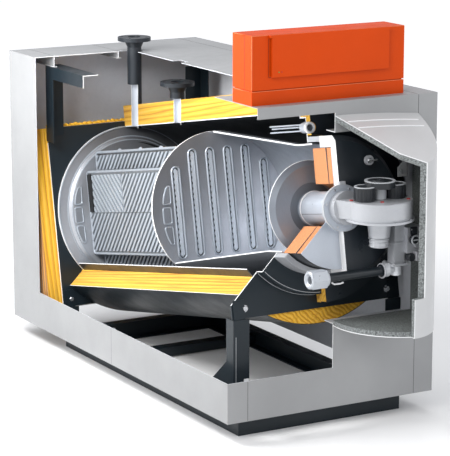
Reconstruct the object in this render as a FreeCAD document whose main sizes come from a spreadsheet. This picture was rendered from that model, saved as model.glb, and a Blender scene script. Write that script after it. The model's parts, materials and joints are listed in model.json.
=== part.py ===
import FreeCAD, Part
import math
import os
import Sketcher

# An upright condensing boiler shown in section, so that its inside can be seen.
# Row frame: origin on the floor under the middle of the whole boiler, +X to the right of
# the burner front, +Y to the rear, +Z up.  The front, with the burner hood, faces -Y.
#
# Two working frames are used.  "Casing" coordinates measure y from the front face of the
# casing and z from the floor.  "Boiler" coordinates (x, u, w) belong to the boiler body,
# whose axis falls towards the rear: u runs to the rear along the axis, w is square to it
# and points up.

doc = FreeCAD.newDocument("boiler")
sheet = doc.addObject("Spreadsheet::Sheet", "sizes")

SIZES = {
    # casing
    "casing_width": 900, "casing_depth": 1856, "casing_height": 1152, "panel": 3,
    "strip_height": 152, "rear_strip": 256, "front_rim": 42,
    "opening_half": 351, "opening_low": 322, "opening_high": 1037, "opening_lip": 60,
    "rim_start": 327, "tab_length": 310, "hanger_foot": 24, "hanger_inset": 11,
    "hanger_wall": 2, "hanger_end": 20, "middle_seam": 62, "middle_hanger": 25,
    # base and stand, all of rolled and folded steel
    "base_height": 80, "side_inset": 93, "base_front": 82, "base_rear": 316,
    "channel": 45, "channel_wall": 5, "cross_at": 1160, "cross_height": 38, "cross_width": 60,
    "cross_wall": 3, "leg_gap": 2,
    "leg_width": 68, "leg_depth": 53, "angle_wall": 4, "bracket_width": 48,
    "bracket_height": 70, "bracket_drop": 58, "gusset_height": 190, "gusset_length": 226,
    "rail_width": 70, "rail_web": 52, "rail_end": 543, "upright_side": 69,
    "upright_front": 78, "upright_drop": 53, "upright_step": 6,
    # boiler body and its two end plates
    "tilt": 10.5, "axis_at": 845, "axis_height": 691,
    "plate_side": 15, "plate_foot": 31, "plate_head": 21, "plate_corner": 62,
    "plate_wall": 6, "front_plate_at": 678, "rear_space": 252,
    "shell_radius": 353, "shell_wall": 4, "rear_disc_wall": 8,
    "disc_depth": 14, "disc_flat": 62, "disc_bend": 44,
    "insulation_wall": 87, "skin_wall": 2, "soft_gap": 0.3,
    "shell_cut": 144, "insulation_cut": 138, "mat_half": 430, "mat_wall": 70,
    "ring_step": 37, "ring_margin": 23, "ring_wall": 4, "ring_clearance": 2,
    # combustion chamber and heat exchanger
    "cone_front_space": 127, "cone_rear_space": 55, "cone_wall": 6, "cone_neck": 640,
    "cone_narrowing": 2,
    "cone_front": 742, "slot_plate_space": 49, "slot_plate_wall": 8, "slots": 6,
    "slot_margin": 203, "slot_width": 30, "slot_low": 118, "slot_high": 65, "slot_side_high": 128,
    "slot_offset": 16,
    "pocket_pitch": 50, "pocket_wall": 22, "pocket_low": 176, "pocket_space": 56,
    "pocket_edge": 178, "pockets_inside": 7,
    # door and burner, on an axis a little under the boiler's
    "burner_drop": 10,
    "dish_margin": 10, "dish_wall": 5, "dish_chamfer": 20, "dish_rim": 795, "dish_face": 905,
    "bore_radius": 90, "refractory_gap": 4, "refractory_start": 744,
    "refractory_end": 868, "door_plate_wall": 4, "door_plate_margin": 2,
    "collar_margin": 30, "collar_wall": 20, "tube_radius": 62,
    "tube_wall": 4, "burner_disc_space": 47, "burner_disc_at": 705, "burner_disc_wall": 4,
    "burner_disc_rim": 20, "burner_disc_dish": 14, "dome_radius": 130, "dome_depth": 145,
    "dome_wall": 3, "burner_flange_rim": 22,
    "burner_flange_wall": 14, "handle_x": 125,
    "handle_margin": 113, "handle_radius": 18, "handle_length": 24,
    "handle_shank": 7, "handle_head": 12,
    "cover_margin": 9, "cover_wall": 2, "front_wool": 28, "cover_gap": 6,
    # fan, gas train
    "fan_x": 98, "fan_y": 150, "fan_z": 855, "fan_radius": 120, "fan_height": 66,
    "fan_flange": 8, "fan_flange_rim": 8, "fan_clearance": 5, "throat_half": 56, "throat_spread": 10,
    "neck_length": 34,
    "motor_post": 22, "motor_cap": 56, "motor_cap_height": 24,
    "motor_drum": 38, "motor_height": 44, "motor_spread": 66, "drum_rise": 8,
    "inlet_top": 46, "inlet_bottom": 38, "inlet_height": 66, "mouth_height": 34, "mouth_step": 3,
    "duct_x": 173, "duct_half": 22, "duct_low": 645, "duct_foot": 36, "duct_foot_wall": 8,
    "valve_width": 68, "valve_height": 96, "valve_depth": 80, "valve_low": 682,
    "stub_radius": 14, "stub_length": 14, "nut_half": 20, "nut_height": 24, "nut_left": 24,
    "nut_right": 30, "knob_place": 0.6, "knob_level": 0.38,
    "knob_radius": 17, "knob_length": 16,
    "gas_z": 620, "gas_pipe_radius": 16.85, "gas_bore": 13.6, "gas_start": 150,
    "union_length": 62, "union_bore": 15.2, "union_size": 36, "union_grip": 16,
    "elbow_radius": 21, "socket_radius": 24, "socket_length": 28,
    # flow and return pipes
    "pipe_radius": 30.15, "pipe_bore": 27.25, "flange_radius": 70, "flange_wall": 16, "top_hole_gap": 4,
    "flange_circle": 110, "flange_hole": 14, "neck_radius": 42, "neck_height": 26, "pipe_sink": 9,
    "bore_depth": 500,
    "flow_back": 280, "flow_rise": 60, "flow_cut": 200, "return_back": 658, "return_rise": 77,
    "return_cut": 67,
    # sensor pocket over the door
    "sensor_space": 63, "sensor_radius": 21, "sensor_bore": 15, "sensor_length": 40,
    "sensor_base": 8, "rod_radius": 3, "rod_length": 240, "rod_root": 2,
    # control unit
    "control_width": 652, "control_depth": 136, "control_front": 44, "control_height": 252,
    "control_foot": 51, "control_groove": 4, "groove_depth": 6, "flap_half": 250,
    "flap_height": 152, "flap_wall": 10, "flap_gap": 5, "pin_radius": 3, "pin_fit": 0.05,
    "lug_width": 8, "lug_gap": 0.5,
    # hood and its foam lining
    "hood_half": 364, "hood_depth": 305, "hood_corner": 214, "hood_low": 393,
    "hood_high": 1180, "hood_slope": 25.2, "hood_crown": 3680, "hood_sheet": 3,
    "foam_wall": 18, "hood_cut_z": 537, "hood_bend_x": 125, "hood_bend_y": 236, "hood_cut_x": 246,
    "hood_cut_y": 326, "hood_low_cut_x": 155,
    # flue connection at the rear
    "flue_radius": 100, "flue_wall": 3, "flue_floor": 6, "flue_height": 400, "flue_length": 45,
    "flue_inside": 60,
}
for line, (alias, number) in enumerate(SIZES.items(), start=1):
    sheet.set("A%d" % line, alias)
    sheet.set("B%d" % line, str(number))
    sheet.setAlias("B%d" % line, alias)
doc.recompute()

OVER = 1  # how far a cutting body reaches past what it cuts
SEAM = 2  # how far two bodies that are fused reach into each other
# where the three sensors sit in their pocket: across and up from its axis
SENSOR_PLACES = ((-5, 12), (4, 3), (-4, -11))
# the burner dome, from its foot to its tip: share of the depth, share of the radius
DOME_SHAPE = ((0, 1), (0.45, 0.94), (0.78, 0.7), (1, 0.3))
# the curved cut of the hood's floor: shares of its reach to the right and of the depth
FLOOR_CUT = ((0.16, 0.55), (1, 0.93))


# ---------------------------------------------------------------- values and formulas

class Value:
    """A number together with the sheet formula that gives it, so that one line of
    arithmetic sets both a first position and the expression that drives it."""

    def __init__(self, number, formula):
        self.number = float(number)
        self.formula = formula

    def join(self, other, sign, work):
        other = as_value(other)
        return Value(work(self.number, other.number), "(%s %s %s)" % (self.formula, sign, other.formula))

    def __add__(self, other):
        return self.join(other, "+", lambda a, b: a + b)

    def __sub__(self, other):
        return self.join(other, "-", lambda a, b: a - b)

    def __mul__(self, other):
        return self.join(other, "*", lambda a, b: a * b)

    def __truediv__(self, other):
        return self.join(other, "/", lambda a, b: a / b)

    def __neg__(self):
        return Value(-self.number, "(0 - %s)" % self.formula)

    def __radd__(self, other):
        return as_value(other) + self

    def __rsub__(self, other):
        return as_value(other) - self

    def __rmul__(self, other):
        return as_value(other) * self


def as_value(number):
    if isinstance(number, Value):
        return number
    return Value(number, repr(float(number)))


class Sizes:
    """Reads a size by its name, as a Value bound to its cell."""

    def __getattr__(self, alias):
        return Value(SIZES[alias], "sizes." + alias)


S = Sizes()


def of_angle(function, name, angle):
    return Value(function(math.radians(angle.number)), "%s(%s * 1deg)" % (name, angle.formula))


def root(value):
    return Value(math.sqrt(value.number), "sqrt(%s)" % value.formula)


COS = of_angle(math.cos, "cos", S.tilt)
SIN = of_angle(math.sin, "sin", S.tilt)


def bind(thing, name, value):
    """Sets a property of an object, or a named part of a placement, from a Value."""
    thing.setExpression(name, as_value(value).formula)


# what follows from the driving sizes
REAR_PLATE = (S.casing_depth - S.rear_space - S.axis_at) / COS
PLATE_HALF = S.shell_radius + S.plate_side
PLATE_LOW = S.shell_radius + S.plate_foot
PLATE_HIGH = S.shell_radius + S.plate_head
RING_RADIUS = S.shell_radius - S.ring_margin
CONE_FRONT_RADIUS = S.shell_radius - S.cone_front_space
CONE_REAR_RADIUS = S.shell_radius - S.cone_rear_space
SLOT_PLATE_RADIUS = S.shell_radius - S.slot_plate_space
REFRACTORY_RADIUS = CONE_FRONT_RADIUS - S.refractory_gap
DOOR_PLATE_RADIUS = REFRACTORY_RADIUS + S.door_plate_margin
COLLAR_RADIUS = CONE_FRONT_RADIUS + S.collar_margin
DISH_RADIUS = COLLAR_RADIUS + S.dish_margin
SENSOR_HEIGHT = S.shell_radius - S.sensor_space


def boiler_y(u, w):
    return S.axis_at + u * COS + w * SIN


def boiler_z(u, w):
    return S.axis_height - u * SIN + w * COS


def boiler_u(y, z):
    return (y - S.axis_at) * COS - (z - S.axis_height) * SIN


def boiler_w(y, z):
    return (y - S.axis_at) * SIN + (z - S.axis_height) * COS


# ---------------------------------------------------------------- building blocks

NODES = []
MIDDLE = (S.casing_depth + S.flue_length - S.hood_depth) / 2


def set_base(thing, x, y, z):
    for letter, value in zip("xyz", (x, y, z)):
        bind(thing, "Placement.Base." + letter, value)


def keep_casing(thing, label):
    """Ends a sub-part drawn in casing coordinates: moves it into the row frame."""
    thing.Label = label
    set_base(thing, 0, -MIDDLE, 0)
    NODES.append(thing)
    return thing


def keep_boiler(thing, label, drop=0):
    """Ends a sub-part drawn in boiler coordinates, whose own axis may lie a little lower."""
    drop = as_value(drop)
    thing.Label = label
    thing.Placement = FreeCAD.Placement(FreeCAD.Vector(), FreeCAD.Rotation(FreeCAD.Vector(-1, 0, 0), 1))
    bind(thing, "Placement.Rotation.Angle", S.tilt)
    set_base(thing, 0, boiler_y(0, -drop) - MIDDLE, boiler_z(0, -drop))
    NODES.append(thing)
    return thing


def new_body(name):
    return doc.addObject("PartDesign::Body", name)


def new_sketch(body, plane, level=0):
    """An empty sketch on one of the body's own planes, moved along the plane's normal."""
    sketch = body.newObject("Sketcher::SketchObject", body.Name + "_sketch")
    role = next(item for item in body.Origin.OriginFeatures if item.Role == plane + "_Plane")
    sketch.AttachmentSupport = [(role, "")]
    sketch.MapMode = "FlatFace"
    side = -1 if plane == "XZ" else 1
    bind(sketch, "AttachmentOffset.Base.z", side * as_value(level))
    return sketch


def hold(sketch, kind, geometry, point, value):
    """Fixes one coordinate or radius of a sketch element to a Value."""
    value = as_value(value)
    place = (geometry,) if point is None else (geometry, point)
    index = sketch.addConstraint(Sketcher.Constraint(kind, *place, value.number))
    sketch.setExpression("Constraints[%d]" % index, value.formula)


def draw_outline(sketch, points):
    """A closed outline of straight edges through the points."""
    first = sketch.GeometryCount
    points = [(as_value(a), as_value(b)) for a, b in points]
    count = len(points)
    for index, (a, b) in enumerate(points):
        c, d = points[(index + 1) % count]
        start = FreeCAD.Vector(a.number, b.number, 0)
        end = FreeCAD.Vector(c.number, d.number, 0)
        sketch.addGeometry(Part.LineSegment(start, end), False)
    for index, (a, b) in enumerate(points):
        after = first + (index + 1) % count
        sketch.addConstraint(Sketcher.Constraint("Coincident", first + index, 2, after, 1))
        hold(sketch, "DistanceX", first + index, 1, a)
        hold(sketch, "DistanceY", first + index, 1, b)


def draw_circle(sketch, a, b, radius):
    a, b, radius = as_value(a), as_value(b), as_value(radius)
    centre = FreeCAD.Vector(a.number, b.number, 0)
    index = sketch.addGeometry(Part.Circle(centre, FreeCAD.Vector(0, 0, 1), radius.number), False)
    hold(sketch, "DistanceX", index, 3, a)
    hold(sketch, "DistanceY", index, 3, b)
    hold(sketch, "Radius", index, None, radius)


def pad(body, sketch, length, plane):
    feature = body.newObject("PartDesign::Pad", body.Name + "_pad")
    feature.Profile = sketch
    feature.Reversed = plane == "XZ"
    bind(feature, "Length", length)
    return feature


def prism(name, plane, start, length, *outlines):
    """A body of constant section: the outlines lie in the named plane at `start` and are
    drawn out by `length` along +X, +Y or +Z."""
    body = new_body(name)
    sketch = new_sketch(body, plane, start)
    for outline in outlines:
        draw_outline(sketch, outline)
    pad(body, sketch, length, plane)
    return body


def rectangle(a, b, c, d):
    return [(a, b), (c, b), (c, d), (a, d)]


def turned(name, outline, sweep=360, axis="Y", start="top"):
    """A body turned about the Y axis, or the Z axis.  The outline gives (distance along the
    axis, radius).  A part turn about Y starts straight up, or at the right side, and goes
    round over the right side and down."""
    upright = axis == "Y" and start == "top"
    body = new_body(name)
    sketch = new_sketch(body, "XY" if start == "side" else "YZ")
    draw_outline(sketch, outline if upright else [(b, a) for a, b in outline])
    feature = body.newObject("PartDesign::Revolution", name + "_turn")
    feature.Profile = sketch
    feature.ReferenceAxis = (sketch, ["H_Axis" if upright else "V_Axis"])
    bind(feature, "Angle", sweep)
    return body


def tube(near, far, inner, outer):
    return rectangle(near, inner, far, outer)


def pocket(body, plane, draw, one_way=False):
    """Cuts the shapes that `draw` puts in a sketch through the whole body, both ways or
    only towards -X, -Z or +Y."""
    sketch = new_sketch(body, plane)
    draw(sketch)
    feature = body.newObject("PartDesign::Pocket", body.Name + "_cut")
    feature.Profile = sketch
    feature.Type = 1
    feature.Midplane = not one_way
    return feature


def block(name, x0, y0, z0, x1, y1, z1):
    thing = doc.addObject("Part::Box", name)
    for letter, low, high in (("Length", x0, x1), ("Width", y0, y1), ("Height", z0, z1)):
        bind(thing, letter, as_value(high) - low)
    set_base(thing, x0, y0, z0)
    return thing


AXES = {"X": FreeCAD.Rotation(FreeCAD.Vector(0, 1, 0), 90), "Y": FreeCAD.Rotation(FreeCAD.Vector(-1, 0, 0), 90),
        "Z": FreeCAD.Rotation()}


def rod(name, axis, x, y, z, radius, length):
    """A cylinder from the given point along +X, +Y or +Z."""
    thing = doc.addObject("Part::Cylinder", name)
    bind(thing, "Radius", radius)
    bind(thing, "Height", length)
    thing.Placement = FreeCAD.Placement(FreeCAD.Vector(), AXES[axis])
    set_base(thing, x, y, z)
    return thing


BLOCK = 800


def boiler_block(name, start):
    """A large cube on the boiler's axis, from `start` to the rear, for cutting pieces drawn
    in casing coordinates square to that axis."""
    half = BLOCK / 2
    thing = doc.addObject("Part::Box", name)
    for side in ("Length", "Width", "Height"):
        bind(thing, side, BLOCK)
    thing.Placement = FreeCAD.Placement(FreeCAD.Vector(), FreeCAD.Rotation(FreeCAD.Vector(-1, 0, 0), 1))
    bind(thing, "Placement.Rotation.Angle", S.tilt)
    set_base(thing, -half, boiler_y(start, -half), boiler_z(start, -half))
    return thing


def level_cutter(name, height):
    """A level slab above the given height, in boiler coordinates."""
    thing = doc.addObject("Part::Box", name)
    for side, length in (("Length", BLOCK * 2), ("Width", REAR), ("Height", BLOCK)):
        bind(thing, side, length)
    thing.Placement = FreeCAD.Placement(FreeCAD.Vector(), FreeCAD.Rotation(FreeCAD.Vector(1, 0, 0), 1))
    bind(thing, "Placement.Rotation.Angle", S.tilt)
    set_base(thing, -BLOCK, boiler_u(0, height), boiler_w(0, height))
    return thing


def cone(name, x, y, z, low_radius, high_radius, height):
    thing = doc.addObject("Part::Cone", name)
    bind(thing, "Radius1", low_radius)
    bind(thing, "Radius2", high_radius)
    bind(thing, "Height", height)
    set_base(thing, x, y, z)
    return thing


def fuse(name, *things):
    result = doc.addObject("Part::MultiFuse", name)
    result.Shapes = list(things)
    result.Refine = True
    return result


def cut(name, base, *tools):
    result = doc.addObject("Part::Cut", name)
    result.Base = base
    result.Tool = tools[0] if len(tools) == 1 else fuse(name + "_tools", *tools)
    return result


# ---------------------------------------------------------------- base and stand

HALF_BASE = S.casing_width / 2 - S.side_inset
BASE_REAR = S.casing_depth - S.base_rear
BODY_SIDE = PLATE_HALF + S.angle_wall
HANGER_SEAM = BODY_SIDE - S.hanger_inset


def base_frame():
    """A closed ring of channel, open towards the inside."""
    wall, flange = S.channel_wall, S.channel
    outer = block("base_outer", -HALF_BASE, S.base_front, 0, HALF_BASE, BASE_REAR, S.base_height)
    web = block("base_web", -HALF_BASE + wall, S.base_front + wall, wall,
                HALF_BASE - wall, BASE_REAR - wall, S.base_height - wall)
    middle = block("base_middle", -HALF_BASE + flange, S.base_front + flange, -OVER,
                   HALF_BASE - flange, BASE_REAR - flange, S.base_height + OVER)
    keep_casing(cut("base_frame", outer, web, middle), "base_frame")


def base_cross_member():
    """A box section lying on the bottom flanges, between the webs of the side channels."""
    half = HALF_BASE - S.channel_wall
    low, wall = S.channel_wall, S.cross_wall
    body = prism("base_cross_member", "YZ", -half, half * 2,
                 rectangle(S.cross_at, low, S.cross_at + S.cross_width, low + S.cross_height),
                 rectangle(S.cross_at + wall, low + wall, S.cross_at + S.cross_width - wall,
                           low + S.cross_height - wall))
    keep_casing(body, "base_cross_member")


def foot_front_of(u):
    """Where the front face of a leg stands, under the end plate whose front face is at u."""
    return boiler_y(u - S.angle_wall, -(PLATE_LOW + S.leg_gap)) - S.angle_wall


SIDES = (("left", -1), ("right", 1))


def leg(label, side, u, turn):
    """An angle section with its corner outwards, from the base up to the bracket's foot.
    Its side flange runs to the rear, or with a turn of -1 to the front."""
    wall = S.angle_wall
    near = foot_front_of(u) + (0 if turn > 0 else wall)
    far = near + turn * S.leg_depth
    step = near + turn * wall
    top = boiler_z(u, -PLATE_LOW) - S.leg_gap
    out = side * PLATE_HALF
    return prism(label, "XY", S.base_height, top - S.base_height, [
        (out, near), (out - side * S.leg_width, near), (out - side * S.leg_width, step),
        (out - side * wall, step), (out - side * wall, far), (out, far)])


def bracket(label, side, u):
    """A folded plate that bolts the leg to the end plate: its upper half lies on the tilted
    plate and its lower half on the back of the leg."""
    wall = S.angle_wall
    inner = side * (PLATE_HALF - S.angle_wall - S.leg_gap - S.bracket_width)
    low_y = foot_front_of(u) + wall
    low_z = boiler_z(u, -PLATE_LOW)
    high_w = -(PLATE_LOW - S.bracket_height)
    return prism(label, "YZ", inner if side > 0 else inner - S.bracket_width, S.bracket_width, [
        (low_y, low_z - S.bracket_drop), (low_y + wall, low_z - S.bracket_drop),
        (low_y + wall, low_z - wall), (boiler_y(u, -PLATE_LOW), low_z),
        (boiler_y(u, high_w), boiler_z(u, high_w)),
        (boiler_y(u - wall, high_w), boiler_z(u - wall, high_w)), (low_y, low_z - wall)])


def gusset(label, side):
    """A triangular web between a front leg and the base frame."""
    start = foot_front_of(-S.front_plate_at) + S.leg_depth
    low = S.base_height
    outer = side * PLATE_HALF
    return prism(label, "YZ", outer if side < 0 else outer - S.angle_wall, S.angle_wall,
                 [(start, low), (start + S.gusset_length, low), (start, low + S.gusset_height)])


def legs():
    """Two legs at the front, each with its gusset, and two short ones at the rear."""
    front = []
    for word, side in SIDES:
        front += [leg("leg_front_" + word, side, -S.front_plate_at, 1), gusset("gusset_" + word, side)]
    keep_casing(fuse("legs_front", *front), "legs_front")
    rear = [leg("leg_rear_" + word, side, REAR_PLATE, -1) for word, side in SIDES]
    keep_casing(fuse("legs_rear", *rear), "legs_rear")


def leg_brackets():
    ends = (("front", -S.front_plate_at), ("rear", REAR_PLATE))
    all_four = [bracket("bracket_%s_%s" % (end, word), side, u) for end, u in ends for word, side in SIDES]
    keep_casing(fuse("leg_brackets", *all_four), "leg_brackets")


RAIL_TOP = boiler_z(-S.front_plate_at, PLATE_HIGH) + S.angle_wall
UPRIGHT_BACK = boiler_y(REAR_PLATE, PLATE_HIGH) - S.upright_step


def upright(label, side):
    """An angle section whose cross flange leans on the rear plate's face; it carries the rail."""
    wall = S.angle_wall
    out = side * BODY_SIDE
    low = boiler_z(REAR_PLATE, PLATE_HIGH) - S.upright_drop
    back = UPRIGHT_BACK
    side_flange = block(label + "_side", *sorted_pair(out, out - side * wall, back - S.upright_side, low,
                                                      back, RAIL_TOP - S.rail_web))
    touch = boiler_z(REAR_PLATE, PLATE_HIGH - S.upright_step / SIN)
    front_flange = block(label + "_front", *sorted_pair(out, out - side * S.upright_front, back - wall,
                                                        touch, back, RAIL_TOP - S.rail_web))
    return side_flange, front_flange


def uprights():
    pieces = [piece for word, side in SIDES for piece in upright("upright_" + word, side)]
    keep_casing(fuse("uprights", *pieces), "uprights")


def sorted_pair(a, b, y0, z0, y1, z1):
    """Box corners from two x values in either order."""
    low, high = (a, b) if a.number < b.number else (b, a)
    return low, y0, z0, high, y1, z1


def rail(label, side, start):
    """An angle along the boiler's shoulder, with a flat top that carries the casing."""
    wall = S.angle_wall
    out = side * BODY_SIDE
    body = new_body(label)
    sketch = new_sketch(body, "XZ", start)
    draw_outline(sketch, [
        (out, RAIL_TOP), (out, RAIL_TOP - S.rail_web), (out - side * wall, RAIL_TOP - S.rail_web),
        (out - side * wall, RAIL_TOP - wall), (out - side * S.rail_width, RAIL_TOP - wall),
        (out - side * S.rail_width, RAIL_TOP)])
    pad(body, sketch, UPRIGHT_BACK - start, "XZ")
    return body


def rails():
    """The left rail is cut short; the right one runs forward to the front plate."""
    left = rail("rail_left", -1, S.casing_depth - S.rail_end)
    right = rail("rail_right", 1, boiler_y(-S.front_plate_at, PLATE_HIGH))
    keep_casing(fuse("shoulder_rails", left, right), "shoulder_rails")


# ---------------------------------------------------------------- casing

HALF = S.casing_width / 2
FLOOR = S.base_height
TOP = S.base_height + S.casing_height
UNDER_TOP = TOP - S.panel
REAR = S.casing_depth
TOP_CUT = S.casing_depth - S.rear_strip
FLOW_AT = S.casing_depth - S.flow_back
RETURN_AT = S.casing_depth - S.return_back
FLOW_TOP = TOP + S.flow_rise


def side_panels():
    """Two panels a side.  The left ones are cut away to a low strip and a rear strip."""
    wall = S.panel
    low, strip = FLOOR, FLOOR + S.strip_height
    front, seam, back = wall, S.casing_depth / 2, REAR
    left = {"casing_left_front": rectangle(front, low, seam, strip),
            "casing_left_rear": [(seam, low), (back, low), (back, UNDER_TOP), (TOP_CUT, UNDER_TOP),
                                 (TOP_CUT, strip), (seam, strip)]}
    right = {"casing_right_front": rectangle(front, low, seam, UNDER_TOP),
             "casing_right_rear": rectangle(seam, low, back, UNDER_TOP)}
    for label, outline in left.items():
        keep_casing(prism(label, "YZ", -HALF, wall, outline), label)
    for label, outline in right.items():
        keep_casing(prism(label, "YZ", HALF - wall, wall, outline), label)


def rear_panel():
    """A plain panel with a round hole for the flue connection."""
    body = prism("casing_rear", "XZ", REAR - S.panel, S.panel,
                 rectangle(-HALF + S.panel, FLOOR, HALF - S.panel, UNDER_TOP))
    pocket(body, "XZ", lambda sketch: draw_circle(sketch, 0, S.flue_height, S.flue_radius + S.soft_gap))
    keep_casing(body, "casing_rear")


def front_panel():
    """The front, cut back on its left half to a low strip and a narrow rim under the control
    unit.  A lip is folded inwards along the burner opening."""
    wall = S.panel
    left, right, strip = -HALF, HALF, FLOOR + S.strip_height
    low, high = FLOOR + S.opening_low, FLOOR + S.opening_high
    outline = [(left, FLOOR), (right, FLOOR), (right, UNDER_TOP), (-S.rim_start, UNDER_TOP),
               (-S.rim_start, TOP - S.front_rim), (0, TOP - S.front_rim), (0, high),
               (S.opening_half, high), (S.opening_half, low), (0, low), (0, strip), (left, strip)]
    sheet_part = prism("front_sheet", "XZ", 0, wall, outline)
    lips = [block("lip_top", 0, wall, high, S.opening_half + wall, S.opening_lip, high + wall),
            block("lip_side", S.opening_half, wall, low, S.opening_half + wall, S.opening_lip, high),
            block("lip_low", 0, wall, low - wall, S.opening_half + wall, S.opening_lip, low)]
    keep_casing(fuse("casing_front", sheet_part, *lips), "casing_front")


def hanger(name, x, start, end):
    """An upside-down T that carries a seam of the top on the rails below."""
    web = block(name + "_web", x - S.panel, start, RAIL_TOP, x, end, UNDER_TOP)
    half = S.hanger_foot / 2
    foot = block(name + "_foot", x - half, start, RAIL_TOP, x + half, end, RAIL_TOP + S.hanger_wall)
    return [web, foot]


def top_panels():
    """The top in four widths.  Left of the middle only the rear strip and a front strip
    under the control unit are left.  Short strips close the right width between the pipes."""
    seam, middle = HANGER_SEAM, S.middle_seam
    low, high, end = UNDER_TOP, TOP, REAR - S.hanger_end
    rear_left = block("top_left_plate", -HALF, TOP_CUT, low, -seam, REAR, high)
    keep_casing(fuse("casing_top_left", rear_left, *hanger("top_left", -seam, TOP_CUT, end)),
                "casing_top_left")
    rear_middle = block("top_middle_rear", -seam, TOP_CUT, low, -middle, REAR, high)
    tab = block("top_middle_front", -S.rim_start, 0, low, -middle, S.tab_length, high)
    web_low = low - S.middle_hanger
    middle_web = block("top_middle_web", -middle - S.panel, TOP_CUT, web_low, -middle, end, low)
    middle_foot = block("top_middle_foot", -middle - S.hanger_foot / 2, TOP_CUT, web_low - S.hanger_wall,
                        -middle + S.hanger_foot / 2, end, web_low)
    keep_casing(fuse("casing_top_middle", rear_middle, middle_web, middle_foot, tab), "casing_top_middle")
    room = S.pipe_radius + S.top_hole_gap
    stops = [S.tab_length, RETURN_AT - room, RETURN_AT + room, FLOW_AT - room, FLOW_AT + room, REAR]
    right = [block("top_right_plate", room + S.soft_gap, 0, low, seam, REAR, high),
             block("top_right_tab", -middle, 0, low, room, S.tab_length - S.soft_gap, high)]
    for index in (0, 2, 4):
        left = -middle if index == 4 else 0
        right.append(block("top_strip_%d" % index, left, stops[index], low, room, stops[index + 1], high))
    keep_casing(fuse("casing_top_right", *right), "casing_top_right")
    edge = block("top_edge_plate", seam, 0, low, HALF, REAR, high)
    hangers = hanger("top_edge", seam + S.panel, S.opening_lip + S.hanger_end, end)
    keep_casing(fuse("casing_top_edge", edge, *hangers), "casing_top_edge")


# ---------------------------------------------------------------- boiler body

CUT_SHELL = S.shell_cut + 90
CUT_WOOL = S.insulation_cut + 90
FRONT_BACK = -(S.front_plate_at - S.plate_wall)
REAR_DISC_FRONT = REAR_PLATE - S.rear_disc_wall


def end_plate_outline():
    half, corner = PLATE_HALF, S.plate_corner
    return [(half, -PLATE_LOW), (half, PLATE_HIGH - corner), (half - corner, PLATE_HIGH)]


def rear_plate():
    """The plate that carries the body at the rear, with its two upper corners cut off."""
    half, corner = PLATE_HALF, S.plate_corner
    outline = [(-half, -PLATE_LOW)] + end_plate_outline()
    outline += [(corner - half, PLATE_HIGH), (-half, PLATE_HIGH - corner)]
    keep_boiler(prism("rear_plate", "XZ", REAR_PLATE, S.plate_wall, outline), "rear_plate")


def front_plate():
    """The same plate at the front, with a wedge from straight up round to the lower left
    cut out, and a round opening for the door frame."""
    half = PLATE_HALF
    wedge = Value(math.tan(math.radians(SIZES["insulation_cut"] - 90)),
                  "tan((sizes.insulation_cut - 90) * 1deg)")
    outline = [(0, 0), (-half, -half / wedge), (-half, -PLATE_LOW)] + end_plate_outline() + [(0, PLATE_HIGH)]
    body = prism("front_plate", "XZ", -S.front_plate_at, S.plate_wall, outline)
    pocket(body, "XZ", lambda sketch: draw_circle(sketch, 0, 0, RING_RADIUS - S.ring_wall))
    keep_boiler(body, "front_plate")


def door_frame():
    """The raised ring on the front plate, with a socket hole for the sensor pocket."""
    wall, face, back = S.ring_wall, -(S.front_plate_at + S.ring_step), -S.front_plate_at
    inner = CONE_FRONT_RADIUS + S.cone_wall + S.ring_clearance
    ring = turned("door_frame_ring", [
        (face, inner), (face, RING_RADIUS), (back, RING_RADIUS),
        (back, RING_RADIUS - wall), (face + wall, RING_RADIUS - wall), (face + wall, inner)], CUT_WOOL)
    hole = rod("door_frame_hole", "Y", 0, face - OVER, SENSOR_HEIGHT, S.sensor_radius, wall + OVER * 2)
    keep_boiler(cut("door_frame", ring, hole), "door_frame")


def crown(radius, y):
    """The height of the top of a round piece of the boiler body, at a distance from the front."""
    return S.axis_height + (radius - (y - S.axis_at) * SIN) / COS


RETURN_TOP = crown(S.shell_radius + S.insulation_wall, RETURN_AT) + S.return_rise


def pipe_bore(name, y, top):
    """The upright bore that a pipe needs through the tilted body, in boiler coordinates."""
    thing = doc.addObject("Part::Cylinder", name)
    bind(thing, "Radius", S.pipe_radius + S.soft_gap)
    bind(thing, "Height", S.bore_depth)
    thing.Placement = FreeCAD.Placement(FreeCAD.Vector(), FreeCAD.Rotation(FreeCAD.Vector(1, 0, 0), 1))
    bind(thing, "Placement.Rotation.Angle", S.tilt)
    low = top - S.bore_depth
    set_base(thing, 0, boiler_u(y, low), boiler_w(y, low))
    return thing


def pipe_bores(name):
    return [pipe_bore(name + "_flow", FLOW_AT, FLOW_TOP), pipe_bore(name + "_return", RETURN_AT, RETURN_TOP)]


def outer_shell():
    """The water jacket's shell of two rolled plates, open over its upper left."""
    ring = tube(FRONT_BACK, REAR_DISC_FRONT, S.shell_radius - S.shell_wall, S.shell_radius)
    upper = turned("shell_plate", ring, 90)
    keep_boiler(cut("shell_upper", upper, *pipe_bores("shell_bore")), "shell_upper")
    keep_boiler(turned("shell_lower", ring, CUT_SHELL - 90, start="side"), "shell_lower")


def rear_disc():
    """The shell's rear end, dished forward inside a flat rim."""
    far = REAR_PLATE
    near = REAR_DISC_FRONT
    dished = near - S.disc_depth
    body = turned("rear_disc", [(near, 0), (dished, 0), (dished, S.shell_radius - S.disc_flat),
                                (near, S.shell_radius - S.disc_bend), (near, S.shell_radius),
                                (far, S.shell_radius), (far, 0)])
    keep_boiler(body, "rear_disc")


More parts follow.
